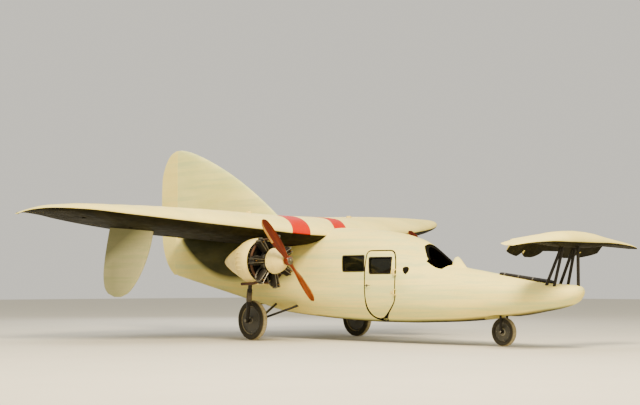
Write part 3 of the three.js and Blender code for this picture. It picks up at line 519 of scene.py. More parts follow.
class Finish:
    """Builds one procedural material from small steps."""

    def __init__(self, name, **sockets):
        self.material = bpy.data.materials.new(name)
        self.material.use_nodes = True
        self.tree = self.material.node_tree
        self.shader = self.tree.nodes["Principled BSDF"]
        for socket, value in sockets.items():
            self.shader.inputs[socket.replace("_", " ")].default_value = value
        self.where = self.node("ShaderNodeTexCoord").outputs["Object"]

    def feed(self, socket, value):
        """Links a node's outcome to a socket, or sets a number or a colour's six digits on it."""
        if isinstance(value, bpy.types.NodeSocket):
            self.tree.links.new(value, socket)
        else:
            socket.default_value = rgb(value) if isinstance(value, str) else value

    def node(self, kind, inputs=(), **settings):
        made = self.tree.nodes.new(kind)
        for name, value in settings.items():
            setattr(made, name, value)
        for key, value in dict(inputs).items():
            self.feed(made.inputs[key], value)
        return made

    def math(self, operation, *values):
        return self.node("ShaderNodeMath", enumerate(values), operation=operation).outputs[0]

    def stretched(self, *scale):
        return self.node("ShaderNodeMapping", {"Vector": self.where, "Scale": scale}).outputs[0]

    def noise(self, scale, detail=4.0, rough=0.55, vector=None, warp=0.0):
        inputs = {"Scale": scale, "Detail": detail, "Roughness": rough, "Distortion": warp}
        inputs["Vector"] = vector or self.where
        return self.node("ShaderNodeTexNoise", inputs).outputs["Fac"]

    def spread(self, value, low, high, start=0.0, end=1.0):
        """A value moved from one range to another and held inside it."""
        inputs = {"Value": value, "From Min": low, "From Max": high, "To Min": start, "To Max": end}
        return self.node("ShaderNodeMapRange", inputs).outputs["Result"]

    def mix(self, share, first, second):
        return self.node("ShaderNodeMix", {0: share, 6: first, 7: second}, data_type="RGBA").outputs[2]

    def axes(self):
        return self.node("ShaderNodeSeparateXYZ", {0: self.where}).outputs

    def wheel_reach(self):
        """The distance from the axle of a wheel whose centre is the object's origin."""
        x, _, z = self.axes()
        squares = [self.math("MULTIPLY", value, value) for value in (x, z)]
        return self.math("SQRT", self.math("ADD", *squares))

    def facing(self):
        """The upward share of the surface's direction."""
        normal = self.node("ShaderNodeNewGeometry").outputs["Normal"]
        return self.node("ShaderNodeSeparateXYZ", {0: normal}).outputs["Z"]

    def bump(self, height, strength, distance):
        inputs = {"Height": height, "Strength": strength, "Distance": distance}
        made = self.node("ShaderNodeBump", inputs)
        normal = self.shader.inputs["Normal"]
        if normal.is_linked:
            self.feed(made.inputs["Normal"], normal.links[0].from_socket)
        self.feed(normal, made.outputs["Normal"])

    def roughness(self, value, low, high):
        self.feed(self.shader.inputs["Roughness"], self.spread(value, 0.3, 0.7, low, high))

    def colour(self, value):
        self.feed(self.shader.inputs["Base Color"], value)
        return self.material


def painted_wing_shadow(made, colour, streak):
    """The painted shadow of the wing on the rear fuselage, above a curved edge."""
    x, _, z = made.axes()
    behind = made.math("MAXIMUM", made.math("SUBTRACT", made.math("MULTIPLY", x, -1.0), 2.4), 0.0)
    edge = made.math("MULTIPLY_ADD", made.math("MULTIPLY", behind, behind), 0.175, 1.04)
    above = made.spread(made.math("SUBTRACT", z, edge), -0.03, 0.1)
    patch = made.spread(made.noise(2.2, 5, 0.6, made.stretched(0.4, 1.0, 1.6)), 0.25, 0.6, 0.93, 1.0)
    amount = made.math("MULTIPLY", made.math("MULTIPLY", above, made.spread(x, -0.45, -1.15)), patch)
    # The painted shadow's dark olive, varied along the streaks.
    return made.mix(amount, colour, made.mix(streak, "2c2c19", "48492e"))


def banded(made, colour, dust):
    """The two red bands over the wing, which slant to starboard towards the front."""
    x, y, _ = made.axes()
    forward = made.math("SMOOTH_MAX", made.math("ADD", x, 0.9), -0.1, 0.5)
    right = made.math("MULTIPLY_ADD", forward, -0.5, -0.5)
    left = made.math("MULTIPLY", made.math("SMOOTH_MAX", x, -0.7, 0.5), -0.65)
    bands = []
    for centre, half in ((right, 0.2), (left, 0.15)):
        off = made.math("ABSOLUTE", made.math("SUBTRACT", y, centre))
        bands.append(made.math("LESS_THAN", off, half))
    red = made.mix(made.spread(dust, 0.3, 0.75), "c21602", "b22a08")
    return made.mix(made.math("MAXIMUM", *bands), colour, red)


def fin_shade(made, colour):
    """The grey shade on the under fins, below the wing and towards the rear."""
    x, _, z = made.axes()
    over = made.math("SUBTRACT", z, made.math("MULTIPLY_ADD", x, 0.45, 2.95))
    near_wing = made.spread(over, -0.3, 0.15, 0.0, 0.85)
    amount = made.math("MAXIMUM", near_wing, made.spread(x, -2.35, -3.2, 0.0, 0.45))
    return made.mix(amount, colour, "696a4c")


def skin(name, light="ffed8e", dark="ecdb80", cool=0.5, under=(-0.2, -0.42), weave=True, extra=None):
    """Cream paint on ply or fabric: faint streaks, dust, and painted shade on undersides between two
    slopes.
    """
    made = Finish(name, Specular_IOR_Level=0.03)
    broad = made.noise(0.9, 4, 0.6, made.stretched(0.5, 1.2, 1.6))
    colour = made.mix(made.spread(broad, 0.35, 0.68), light, dark)
    streak = made.noise(2.6, 5, 0.6, made.stretched(0.12, 1.0, 3.4), warp=0.3)
    colour = made.mix(made.spread(streak, 0.46, 0.62, 0.0, cool), colour, "ccd694")
    dust = made.noise(26.0, 6, 0.7)
    colour = made.mix(made.spread(dust, 0.52, 0.8, 0.0, 0.2), colour, "a59a6c")
    # The rear fuselage gets the wing's painted shadow.
    if extra == "wing_shadow":
        colour = painted_wing_shadow(made, colour, streak)
    elif extra == "bands":
        colour = banded(made, colour, dust)
    elif extra == "shade":
        colour = fin_shade(made, colour)
    # Painted shade: faces that point down turn near-black olive, between the two slopes of under.
    if under:
        painted_shade_olive = made.mix(made.spread(made.noise(3.0, 4), 0.3, 0.7), "1b1910", "0e0d06")
        patch = made.spread(made.noise(5.0, 4, 0.6), 0.25, 0.7, 0.985, 1.0)
        colour = made.mix(made.math("MULTIPLY", made.spread(made.facing(), *under), patch), colour, painted_shade_olive)
    made.roughness(made.noise(7.0, 4), 0.5, 0.7)
    if weave:
        made.bump(made.noise(420.0, 2, 0.5), 0.12, 0.0006)
    made.bump(made.noise(3.5, 3, 0.5), 0.25, 0.004)
    return made.colour(colour)


def paint(name, light, dark, rough=(0.3, 0.55), metal=0.0, wear=None, grain=90.0, gloss=0.4):
    """Even paint or metal with mottling, dust and fine orange peel."""
    made = Finish(name, Metallic=metal, Specular_IOR_Level=gloss)
    colour = made.mix(made.spread(made.noise(6.0, 5, 0.6), 0.3, 0.7), light, dark)
    if wear:
        colour = made.mix(made.spread(made.noise(38.0, 6, 0.75), 0.6, 0.68), colour, wear)
    made.roughness(made.noise(14.0, 4), *rough)
    made.bump(made.noise(grain, 3, 0.5), 0.15, 0.001)
    return made.colour(colour)


def wood():
    """Laminated, varnished wood: boards stacked along the shaft, with grain along the blade, and painted
    shade on one blade.
    """
    made = Finish("propeller_wood", Specular_IOR_Level=0.15, Coat_Weight=0.15, Coat_Roughness=0.15)
    x, _, z = made.axes()
    boards = made.math("PINGPONG", made.math("ADD", x, 0.2), 0.011)
    grain = made.noise(14.0, 6, 0.65, made.stretched(3.0, 3.0, 0.12), warp=0.6)
    colour = made.mix(made.spread(boards, 0.004, 0.007), "812f03", "672102")
    colour = made.mix(made.spread(grain, 0.42, 0.62, 0.0, 0.7), colour, "421502")
    # Painted shade: the blade along the object's upward axis darkens outwards from the hub.
    colour = made.mix(made.spread(z, 0.0, 0.3, 0.0, 0.65), colour, "380a02")
    made.roughness(grain, 0.22, 0.4)
    made.bump(grain, 0.15, 0.0008)
    return made.colour(colour)


def rubber():
    """Dark tyre walls and a pale, dusty tread."""
    made = Finish("tyre_rubber", Specular_IOR_Level=0.3)
    across = made.math("ABSOLUTE", made.axes()[1])
    outer = made.spread(made.wheel_reach(), 0.18, 0.2)
    tread = made.math("MULTIPLY", made.spread(across, 0.05, 0.03), outer)
    patch = made.noise(22.0, 5, 0.7)
    dusty = made.math("MULTIPLY", tread, made.spread(patch, 0.2, 0.6, 0.35, 1.0))
    made.roughness(patch, 0.75, 0.92)
    made.bump(made.noise(160.0, 3), 0.3, 0.0015)
    return made.colour(made.mix(dusty, made.mix(patch, "24221d", "393528"), "b9ab84"))


def wheel_paint():
    """Dark grey wheel discs with a pale middle."""
    made = Finish("wheel_disc")
    patch = made.noise(16.0, 5, 0.65)
    disc, middle = made.mix(patch, "2e2d26", "454339"), made.mix(patch, "8f8d7c", "b1ad98")
    made.roughness(patch, 0.4, 0.6)
    made.bump(made.noise(90.0, 3), 0.12, 0.001)
    return made.colour(made.mix(made.spread(made.wheel_reach(), 0.062, 0.05), disc, middle))


def leather():
    made = Finish("seat_leather", Specular_IOR_Level=0.45)
    inputs = {"Scale": 260.0, "Vector": made.where}
    cells = made.node("ShaderNodeTexVoronoi", inputs, feature="DISTANCE_TO_EDGE")
    patch = made.noise(9.0, 5, 0.6)
    made.roughness(patch, 0.38, 0.6)
    made.bump(cells.outputs["Distance"], 0.35, 0.0012)
    made.bump(patch, 0.2, 0.004)
    return made.colour(made.mix(made.spread(patch, 0.3, 0.7), "6f4023", "4a2916"))


def glass():
    """Nearly opaque, near-black panes with smears: painted shade of the cabin behind them."""
    made = Finish("window_glass", Alpha=0.9, Specular_IOR_Level=0.25, Coat_Weight=0.05)
    smears = made.noise(5.0, 5, 0.7, warp=0.8)
    made.roughness(smears, 0.04, 0.16)
    made.bump(made.noise(3.0, 2), 0.08, 0.002)
    return made.colour(made.mix(smears, "0c0d08", "17180f"))


# The under slopes set where down-facing faces get painted shade.
SKIN_PLY = skin("cream_ply", cool=0.7, under=(-0.9, -0.99), weave=False)
# The rear fuselage's skin carries the painted shadow of the wing above it.
SKIN_REAR = skin("cream_rear", under=(-0.93, -1.0), extra="wing_shadow")
SKIN_WING = skin("cream_wing", cool=0.25, extra="bands")
SKIN_FABRIC = skin("cream_fabric", cool=0.25)
SKIN_FIN = skin("cream_fin", "f8f3a0", "d8db88", 0.8, None)
# The under fins get a greyer cream as painted shade, with fin_shade's painted shade on top.
SKIN_UNDER_FIN = skin("cream_under_fin", "fbf0b0", "dfdba4", under=None, extra="shade")
SKIN_RUDDER = skin("cream_rudder", "ffee8c", "f0de80", 0.2, None)
BLACK = paint("black_paint", "221e18", "14120f", wear="453d31", gloss=0.2)
STEEL = paint("bare_steel", "8a8578", "5f5b50", (0.25, 0.5), 0.9)
LINING = paint("cabin_lining", "3d3526", "292318", (0.7, 0.9), gloss=0.1)
# Near black: painted shade in gaps, on cut edges and on the nacelles' fronts, and dark paint on a strap,
# the mark and the covers.
GAP_SHADE_AND_DARK_PAINT = paint("gap_shade_and_dark_paint", "14120c", "0b0a06", (0.7, 0.9), gloss=0.05)
CORD = paint("shock_cord", "6d6250", "3c352a", (0.7, 0.9), grain=300.0)
CRANKCASE = paint("crankcase_grey", "6a675c", "45423a", (0.4, 0.6), 0.7, "2a261d")
CYLINDER = paint("cylinder_steel", "3a352c", "221f1a", (0.45, 0.65), 0.6, "5a4a35")
EXHAUST = paint("exhaust_rust", "5b3c26", "2c211a", (0.6, 0.85), 0.4, "7d5433")
BRASS = paint("brass_edge", "c99a4a", "94682c", (0.25, 0.45), 0.85)
COWL = paint("cowl_cream", "f6df84", "e0c870", (0.35, 0.55), wear="b4a46c")
PANEL = paint("panel_board", "3a2c20", "241b14", (0.35, 0.5))
IVORY = paint("dial_marks", "efe7cf", "d9d0b5")
LAMP_RED = paint("lamp_red", "8e1710", "5c0c08", (0.08, 0.15))
LAMP_GREEN = paint("lamp_green", "0f5f3a", "0a3d26", (0.08, 0.15))
WOOD, RUBBER, WHEEL, LEATHER, GLASS = wood(), rubber(), wheel_paint(), leather(), glass()


def coloured(made, material):
    made.data.materials.clear()
    made.data.materials.append(material)
    return made


def put(made, name, slot, *nodes, body="airframe", material=None, angle=35.0):
    """Finishes a piece: its name, material, shading, body and the solids it stands for. Its slot is not
    used.
    """
    made.name = name
    if material is not None:
        coloured(made, material)
    made.data.polygons.foreach_set("use_smooth", [True] * len(made.data.polygons))
    made.data.set_sharp_from_angle(angle=radians(angle))
    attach(made, body)
    if nodes:
        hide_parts(*nodes)


def repaint(made, material, rule):
    """Gives a further material to the faces whose centre and direction meet a rule."""
    made.data.materials.append(material)
    last = len(made.data.materials) - 1
    for face in made.data.polygons:
        if rule(face.center, face.normal):
            face.material_index = last


def lined(made):
    """Darkens what faces the inside of the fuselage: the lining, and the cut edges in painted shade."""
    repaint(made, LINING, lambda c, n: n.y * c.y + n.z * (c.z - 0.95) < 0.03)
    # Painted shade: the cut edges round the openings are near black.
    repaint(made, GAP_SHADE_AND_DARK_PAINT, lambda c, n: abs(n.y) < 0.003 and (abs(c.y) > 0.12 or abs(n.x) > 0.5))


class Parts(list):
    """Shapes of different materials, to be joined into one piece."""

    def add(self, material, *shapes):
        self.extend([coloured(shape, material) for shape in shapes])

    def turn(self, material, profile, origin, axis, sides=48):
        """A turned body with a face at both ends."""
        self.add(material, turned(profile, origin, axis, sides))

    def ring(self, material, profile, origin, axis, sides=48):
        """A turned body with a hole along its axis."""
        self.add(material, turned(profile, origin, axis, sides, closed=True))

    def studs(self, points, ways, radius, height, material=STEEL):
        """Round screw heads at points in metres, each with its own way up."""
        profile = [(-0.004, radius), (height * 0.5, radius), (height, radius * 0.6), (height, 0.0005)]
        for point, way in zip(points, ways):
            self.turn(material, profile, point, way.normalized(), 8)

    def put(self, name, slot, *nodes, **settings):
        put(joined(self), name, slot, *nodes, **settings)


# Fuselage


def door_outline(gap=0.0, foot=0.0):
    """The door's outline, grown by a gap that widens to another at the rear of its foot."""
    edge = corner_cut(DOOR_EDGE)
    along = np.roll(edge, -1, axis=0) - np.roll(edge, 1, axis=0)
    along /= np.linalg.norm(along, axis=1)[:, None]
    low = np.clip((DOOR_SHOULDER - edge[:, 1]) / (DOOR_SHOULDER - DOOR_FOOT), 0, 1)
    low *= np.clip((edge[:, 0] - 3560) / 200, 0, 1)
    wide = gap + (foot - gap) * low
    grown = edge + np.stack([-along[:, 1] * wide, along[:, 0] * wide], 1)
    return [tuple(point) for point in grown]


def door_prism(gaps=(0.0, 0.0)):
    return prism(door_outline(*gaps), *DOOR_SIDES)


def layer(start, end, outside, inside):
    """The outer and inner form of a layer of the fuselage, by their depths under its skin."""
    return fuselage(start, end, outside), fuselage(start - 50, end + 50, inside)


def window_cutter(name, gap):
    """A window's outline, grown by a gap, through one side of the fuselage."""
    front, back, low, high, lean, side = WINDOWS[name]
    outline = rounded_outline(front - gap, back + gap, low - gap, high + gap, 35)
    outline = [(station + lean * (height - low) / (high - low), height) for station, height in outline]
    return prism(outline, *((300, 900) if side > 0 else (-900, -300)))


def mouth_cutters():
    """The cockpit's mouth and the well under it."""
    outline = [(2560, 1760), (2560, 1340)]
    outline += curve_points(outline[-1], (2572, 1288), (2640, 1288))
    outline.append((2735, 1302))
    outline += curve_points(outline[-1], (2855, 1350), (2940, 1428))
    outline += [(3112, 1620), (3125, 1760)]
    return [prism(outline, -700, 700), box(2560, 2900, -330, 330, 1100, 1500)]


def wing_form():
    """The wing, grown a little, to cut what meets it."""
    return surface(both_sides(WING), camber=WING_CAMBER, grow=SKIN_ROOM, steps=30, step=100.0)


def rudder_cutter(gap):
    low, high = at(HINGE, 0, 1000), at(HINGE, 0, TAIL_TOP + 100)
    behind = box(HINGE, LENGTH + 100, -300, 300, 1000, TAIL_TOP + 100)
    return boolean_union(behind, bar(low, high, (HINGE_RADIUS + gap) / 1000, sides=40))


def make_fuselage():
    nose = fuselage(NOSE_TIP, CABIN_START - SKIN_ROOM)
    well = bar(at(1560, 0, 200), at(1560, 0, 640), 0.3, sides=64)
    boolean(nose, well)
    put(nose, "nose_skin", "cream_ply", "fuselage_nose", material=SKIN_PLY)

    cabin = fuselage(CABIN_START, CABIN_END - SKIN_ROOM)
    hollow = fuselage(CABIN_START, CABIN_END, WALL)
    room = box(2150, 5330, -700, 700, FLOOR, CEILING)
    boolean(hollow, room, how="INTERSECT")
    wing = wing_form()
    door_hole = door_prism(DOOR_ROOM)
    panes = [window_cutter(name, SKIN_ROOM) for name in list(WINDOWS)[1:]]
    cutters = [hollow, *mouth_cutters(), door_hole, wing, *panes]
    boolean(cabin, *cutters)
    put(cabin, "cabin_skin", "cream_ply", "fuselage_cabin", material=SKIN_PLY)
    lined(cabin)

    rear = fuselage(CABIN_END, 10020)
    stern = rudder_cutter(HINGE_ROOM)
    boolean(rear, wing, stern)
    put(rear, "rear_skin", "cream_fabric", "fuselage_rear", material=SKIN_REAR)

    outer, inner = layer(3200, 4100, 0.0, WALL)
    boolean(outer, inner)
    leaf = door_prism()
    pane = window_cutter("window_door", SKIN_ROOM)
    boolean(leaf, outer, how="INTERSECT")
    boolean(leaf, pane)
    put(leaf, "door_skin", "cream_ply", "cabin_door", body="door", material=SKIN_PLY)
    lined(leaf)
    remove(well, room, stern, *cutters, outer, inner, pane)


# Wing and tail


def aileron_cutter(side, gap):
    """A wedge behind the aileron's hinge line, rounded at its front by a barrel."""
    ends, halves = [], []
    for out, station in ((2950, 8480), (4560, 7790)):
        height, half = depth_at(WING, out, station, WING_CAMBER)
        ends.append(at(station, side * out, height))
        halves.append((half * 1.15 + gap) / 1000)
    start, stop = ends
    along = (stop - start).normalized()
    back = Vector((0, 0, side)).cross(along).normalized()
    up = along.cross(back) * side
    start, stop = start - along * gap / 1000, stop + along * gap / 1000
    corners = ((0, -0.4), (1.5, -0.4), (1.5, 0.4), (0, 0.4))
    rings = [[centre + back * b + up * u for b, u in corners] for centre in (start, stop)]
    return boolean_union(loft(rings), bar(start, stop, *halves, sides=40))


def make_wing():
    ribbed = dict(camber=WING_CAMBER, ribs=360.0, sag=5.0)
    wing = surface(both_sides(WING), **ribbed)
    for name, side in SIDES:
        aileron = surface(both_sides(WING), **ribbed)
        inside, outside = aileron_cutter(side, 0), aileron_cutter(side, HINGE_ROOM)
        boolean(aileron, inside, how="INTERSECT")
        boolean(wing, outside)
        remove(inside, outside)
        node, body = "aileron_" + name, f"aileron_{name}_body"
        put(aileron, "aileron_skin_" + name, "cream_fabric", node, body=body, material=SKIN_FABRIC)
    put(wing, "wing_skin", "cream_fabric", "wing", material=SKIN_WING)


def make_tail():
    upright = upright_place(0)
    wing = wing_form()
    ribbed = dict(ribs=300.0, sag=2.5)
    fin = surface(TAIL, upright, **ribbed)
    clear = rudder_cutter(HINGE_ROOM)
    boolean(fin, clear, wing)
    put(fin, "fin_skin", "cream_fabric", "fin", material=SKIN_FIN)
    rudder = surface(TAIL, upright, **ribbed)
    lower = surface(LOWER_RUDDER, upright, step=40.0)
    boolean(rudder, lower, how="UNION")
    keep = rudder_cutter(0)
    boolean(rudder, keep, how="INTERSECT")
    put(rudder, "rudder_skin", "cream_fabric", "rudder", body="rudder_body", material=SKIN_RUDDER)
    for name, side in SIDES:
        under = surface(UNDER_FIN, upright_place(side * UNDER_FIN_SIDE), ribs=260.0, sag=2.0)
        boolean(under, wing)
        node = "under_fin_" + name
        put(under, "under_fin_skin_" + name, "cream_fabric", node, material=SKIN_UNDER_FIN)
    remove(wing, clear, lower, keep)


def elevator_cutter(gap):
    """What lies behind the elevator's hinge line, rounded at its front by barrels."""
    reach = ELEVATOR_END + gap
    made = box(ELEVATOR_HINGE, 1200, -reach, reach, 1300, 2000)
    sides = [0, 350, 700, ELEVATOR_END]
    sizes = []
    for side in sides:
        height, half = depth_at(FOREPLANE, side, ELEVATOR_HINGE, FOREPLANE_CAMBER)
        sizes.append((abs(height - ELEVATOR_AXIS_HEIGHT) + half + 6 + gap) / 1000)
    for sign in (1, -1):
        for i in range(3):
            near = at(ELEVATOR_HINGE, sign * (sides[i] - (2 if i else 0)), ELEVATOR_AXIS_HEIGHT)
            far = at(ELEVATOR_HINGE, sign * (sides[i + 1] + (gap if i == 2 else 0)), ELEVATOR_AXIS_HEIGHT)
            made = boolean_union(made, bar(near, far, sizes[i], sizes[i + 1], sides=40))
    return made


def elevator_outline():
    """The elevator from above, with two lobes on each side."""
    half = []
    for inner, outer, reach in ((260, 690, 805), (720, ELEVATOR_END, 800)):
        for i in range(25):
            angle = pi * i / 24
            side = (inner + outer) / 2 - (outer - inner) / 2 * cos(angle)
            half.append((650 + (reach - 650) * max(0.0, sin(angle)) ** 0.8, side))
    other = [(station, -side) for station, side in reversed(half)]
    front = ELEVATOR_HINGE - 200
    return prism([(front, -ELEVATOR_END), *other, *half, (front, ELEVATOR_END)], 1300, 2000, at)


def make_foreplane():
    ribbed = dict(camber=FOREPLANE_CAMBER, step=40.0, ribs=230.0, sag=2.5)
    plane, tail = (surface(both_sides(FOREPLANE), **ribbed) for _ in range(2))
    clear, keep, outline = elevator_cutter(HINGE_ROOM), elevator_cutter(0), elevator_outline()
    boolean(plane, clear)
    boolean(tail, keep, outline, how="INTERSECT")
    axis = at(ELEVATOR_HINGE, 0, ELEVATOR_AXIS_HEIGHT)
    droop = Matrix.Rotation(-radians(ELEVATOR_DROOP), 4, "Y")
    tail.data.transform(Matrix.Translation(axis) @ droop @ Matrix.Translation(-axis))
    put(plane, "foreplane_skin", "cream_fabric", "foreplane", material=SKIN_FABRIC)
    put(tail, "elevator_skin", "cream_fabric", "elevator", body="elevator_body", material=SKIN_FABRIC)
    remove(clear, keep, outline)


# Engines and propellers


def blade_point(row, turn, grow=0.0):
    """A point on the blade's outline at a row of its table, grown a little outwards."""
    reach, chord, thickness, pitch = row
    u = (chord / 2 + grow) * cos(turn)
    v = (thickness / 2 + grow) * sin(turn)
    twist = radians(pitch)
    return Vector((u * sin(twist) + v * cos(twist), u * cos(twist) - v * sin(twist), reach)) / 1000


def make_propeller(name, sign):
    """A wooden propeller with brass edges, its plate, nut and bolts."""
    rows = smooth_rows(BLADE, np.linspace(20, PROPELLER_RADIUS, 44))
    outer = [row for row in rows if row[0] > 430]
    turns = [radians(a) for a in np.linspace(-52, 52, 9)]
    middle = Vector((0, 0, 0))
    parts = Parts()
    for half in (0, 1):
        flip = Matrix.Rotation(pi * half, 3, "X")
        blade = [[flip @ blade_point(row, 2 * pi * i / 24) for i in range(24)] for row in rows]
        sheath = [[flip @ blade_point(row, pi + turn, 1.3) for turn in turns] for row in outer]
        parts.add(WOOD, loft(blade))
        parts.add(BRASS, loft(sheath))
        rivets = [flip @ blade_point(row, pi - 0.55, 1.0) for row in outer[::2]]
        parts.studs(rivets, [flip @ FORE] * len(rivets), 0.0035, 0.0015, BRASS)
    hub = [(-0.05, 0.031), (-0.05, 0.066), (-0.044, 0.073), (0.036, 0.078), (0.044, 0.07), (0.044, 0.031)]
    parts.ring(WOOD, hub, middle, FORE)
    plate = [(0.042, 0.02), (0.042, 0.062), (0.047, 0.064), (0.05, 0.06), (0.05, 0.02)]
    parts.ring(STEEL, plate, middle, FORE)
    nut = [(0.05, 0.0005), (0.05, 0.029), (0.062, 0.029), (0.066, 0.024), (0.066, 0.0005)]
    parts.turn(STEEL, nut, middle, FORE, 6)
    head = [(-0.002, 0.0075), (0.006, 0.0075), (0.008, 0.006), (0.008, 0.0004)]
    for c, s in circle(8, 0.5):
        parts.turn(STEEL, head, Vector((0.05, 0.047 * c, 0.047 * s)), FORE, 6)
    centre = at(PROPELLER_STATION, sign * ENGINE_SIDE, ENGINE_HEIGHT)
    tilt = Matrix.Rotation(radians(PROPELLER_TILT[name]), 4, "X")
    made = joined(parts)
    made.matrix_world = Matrix.Translation(centre) @ tilt
    node, body = "propeller_" + name, f"propeller_{name}_body"
    put(made, "propeller_skin_" + name, "propeller_wood", node, body=body, angle=40)


def make_engine(name, sign):
    """Crankcase and shaft, seven finned cylinders with their pipes, and the exhaust."""
    centre = at(ENGINE_STATION, sign * ENGINE_SIDE, ENGINE_HEIGHT)
    parts = Parts()
    case = [(0.0795, 0.001), (0.0795, 0.19), (0.07, 0.195), (0.012, 0.195), (0.008, 0.201), (-0.008, 0.201)]
    case += [(-0.012, 0.195), (-0.08, 0.193), (-0.1095, 0.17), (-0.1095, 0.001)]
    parts.turn(CRANKCASE, case, centre, FORE, 64)
    shaft = [(0.06, 0.001), (0.06, 0.036), (0.36, 0.036), (0.36, 0.03), (0.479, 0.03), (0.479, 0.001)]
    parts.turn(STEEL, shaft, centre, FORE, 32)
    barrel = [(0.15, 0.001), (0.15, 0.066), (0.166, 0.066), (0.168, 0.05), (0.226, 0.05)]
    for k in range(15):
        start = 0.232 + k * 0.0133
        wide = 0.068 + 0.009 * min(1.0, k / 6)
        barrel += [(start, 0.052), (start, wide), (start + 0.005, wide), (start + 0.005, 0.052)]
    barrel += [(0.434, 0.056), (0.444, 0.05), (0.448, 0.034), (0.448, 0.001)]
    # along the cylinder, across it, forwards
    intake = ((0.16, 0.06, -0.07), (0.24, 0.075, -0.088), (0.36, 0.06, -0.088), (0.415, 0.03, -0.07))
    stub = ((0.42, -0.03, -0.05), (0.405, -0.035, -0.085), (0.37, -0.035, -0.1))
    for c, s in circle(7):
        out = Vector((0, sign * c, s))
        across = out.cross(FORE)
        turn = Matrix((FORE, across, out)).transposed()

        def spots(rows):
            return [centre + out * a + across * b + FORE * f for a, b, f in rows]

        parts.turn(CYLINDER, barrel, centre, out, 28)
        for hand in (-1, 1):
            (cover,) = spots([(0.447, 0.033 * hand, 0.012)])
            parts.add(CRANKCASE, brick(cover, (0.1, 0.03, 0.03), turn, 0.3))
            rod = spots([(0.18, 0.02 * hand, 0.066), (0.445, 0.034 * hand, 0.072)])
            parts.add(STEEL, tube(rod, 0.0065, 10))
            parts.add(BRASS, tube(spots([(0.405, 0, 0.06 * hand), (0.405, 0, 0.094 * hand)]), 0.008, 8))
        parts.add(CRANKCASE, tube(spots(intake), 0.017))
        parts.add(EXHAUST, tube(spots(stub), 0.018))
    collector = [centre - FORE * 0.1 + Vector((0, c, s)) * 0.365 for c, s in circle(64)]
    parts.add(EXHAUST, tube(collector + collector[:1], 0.021, 14))
    pipe = ((-0.1, 0.19, -0.32), (-0.14, 0.21, -0.36), (-0.22, 0.225, -0.375), (-0.5, 0.225, -0.385))
    parts.add(EXHAUST, tube([centre + Vector((x, sign * y, z)) for x, y, z in pipe], 0.026, 16))
    parts.put("engine_skin_" + name, "engine_metal", "engine_" + name, angle=32)


def make_nose_cowl(name, sign):
    parts = Parts()
    start = at(NOSE_COWL_STATION, sign * ENGINE_SIDE, ENGINE_HEIGHT)
    cowl = [(0.0, 0.036), (0.0, 0.213), (0.008, 0.217), (0.014, 0.213), (0.06, 0.205), (0.105, 0.187)]
    cowl += [(0.15, 0.165), (0.19, 0.138), (0.23, 0.11), (0.258, 0.09), (0.27, 0.08), (0.272, 0.074)]
    parts.ring(COWL, cowl + [(0.272, 0.036)], start, FORE, 72)
    points = [start + Vector((0.028, 0.2105 * c, 0.2105 * s)) for c, s in circle(14, 0.5)]
    parts.studs(points, [Vector((0.28, c, s)) for c, s in circle(14, 0.5)], 0.007, 0.003)
    band = [(0.124, 0.1785), (0.124, 0.1815), (0.14, 0.1735), (0.14, 0.1695)]
    parts.ring(COWL, band, start, FORE, 72)
    parts.put("nose_cowl_skin_" + name, "cowl_metal", "nose_cowl_" + name)


def make_nacelle(name, sign, wing):
    """A nacelle with straps, screws and cooling slats."""
    start = at(NACELLE_START, sign * ENGINE_SIDE, ENGINE_HEIGHT)
    rows = smooth_rows(NACELLE, np.linspace(NACELLE_START, NACELLE_END, 44))
    profile = [((station - NACELLE_START) / 1000, radius / 1000) for station, radius in rows]
    parts = Parts()
    parts.turn(COWL, [(0.0, 0.001), *profile, (1.09, 0.014), (1.094, 0.001)], start, AFT, 72)
    boolean(parts[0], wing)
    # Painted shade: the nacelle's front face, behind the engine, is near black.
    repaint(parts[0], GAP_SHADE_AND_DARK_PAINT, lambda c, n: n.x > 0.45 and c.x > start.x - 0.1)
    for station, material in ((5236, GAP_SHADE_AND_DARK_PAINT), (5600, COWL), (5930, COWL)):
        r, r2 = [radius / 1000 for _, radius in smooth_rows(NACELLE, [station, station + 16])]
        x = (station - NACELLE_START) / 1000
        strap = [(x, r - 0.004), (x, r + 0.0025), (x + 0.016, r2 + 0.0025), (x + 0.016, r2 - 0.004)]
        parts.ring(material, strap, start, AFT, 72)
        boolean(parts[-1], wing)
    points, ways = [], []
    for station in (5262, 5585):
        radius = smooth_rows(NACELLE, [station])[0][1] / 1000
        for c, s in circle(24, 0.5):
            if s <= 0.86:
                ways.append(Vector((0, c, s)))
                points.append(start + AFT * (station - NACELLE_START) / 1000 + ways[-1] * radius)
    parts.studs(points, ways, 0.006, 0.003)
    for side in (-1, 1):
        for k in range(5):
            angle = radians(22 - 11 * k)
            way = Vector((0, side * cos(angle), sin(angle)))
            turn = Matrix((FORE, way.cross(FORE), way)).transposed()
            parts.add(COWL, brick(start + AFT * 0.3 + way * 0.389, (0.13, 0.02, 0.014), turn, 0.3))
    parts.put("nacelle_skin_" + name, "cowl_metal", "nacelle_" + name)


# Wheels and legs


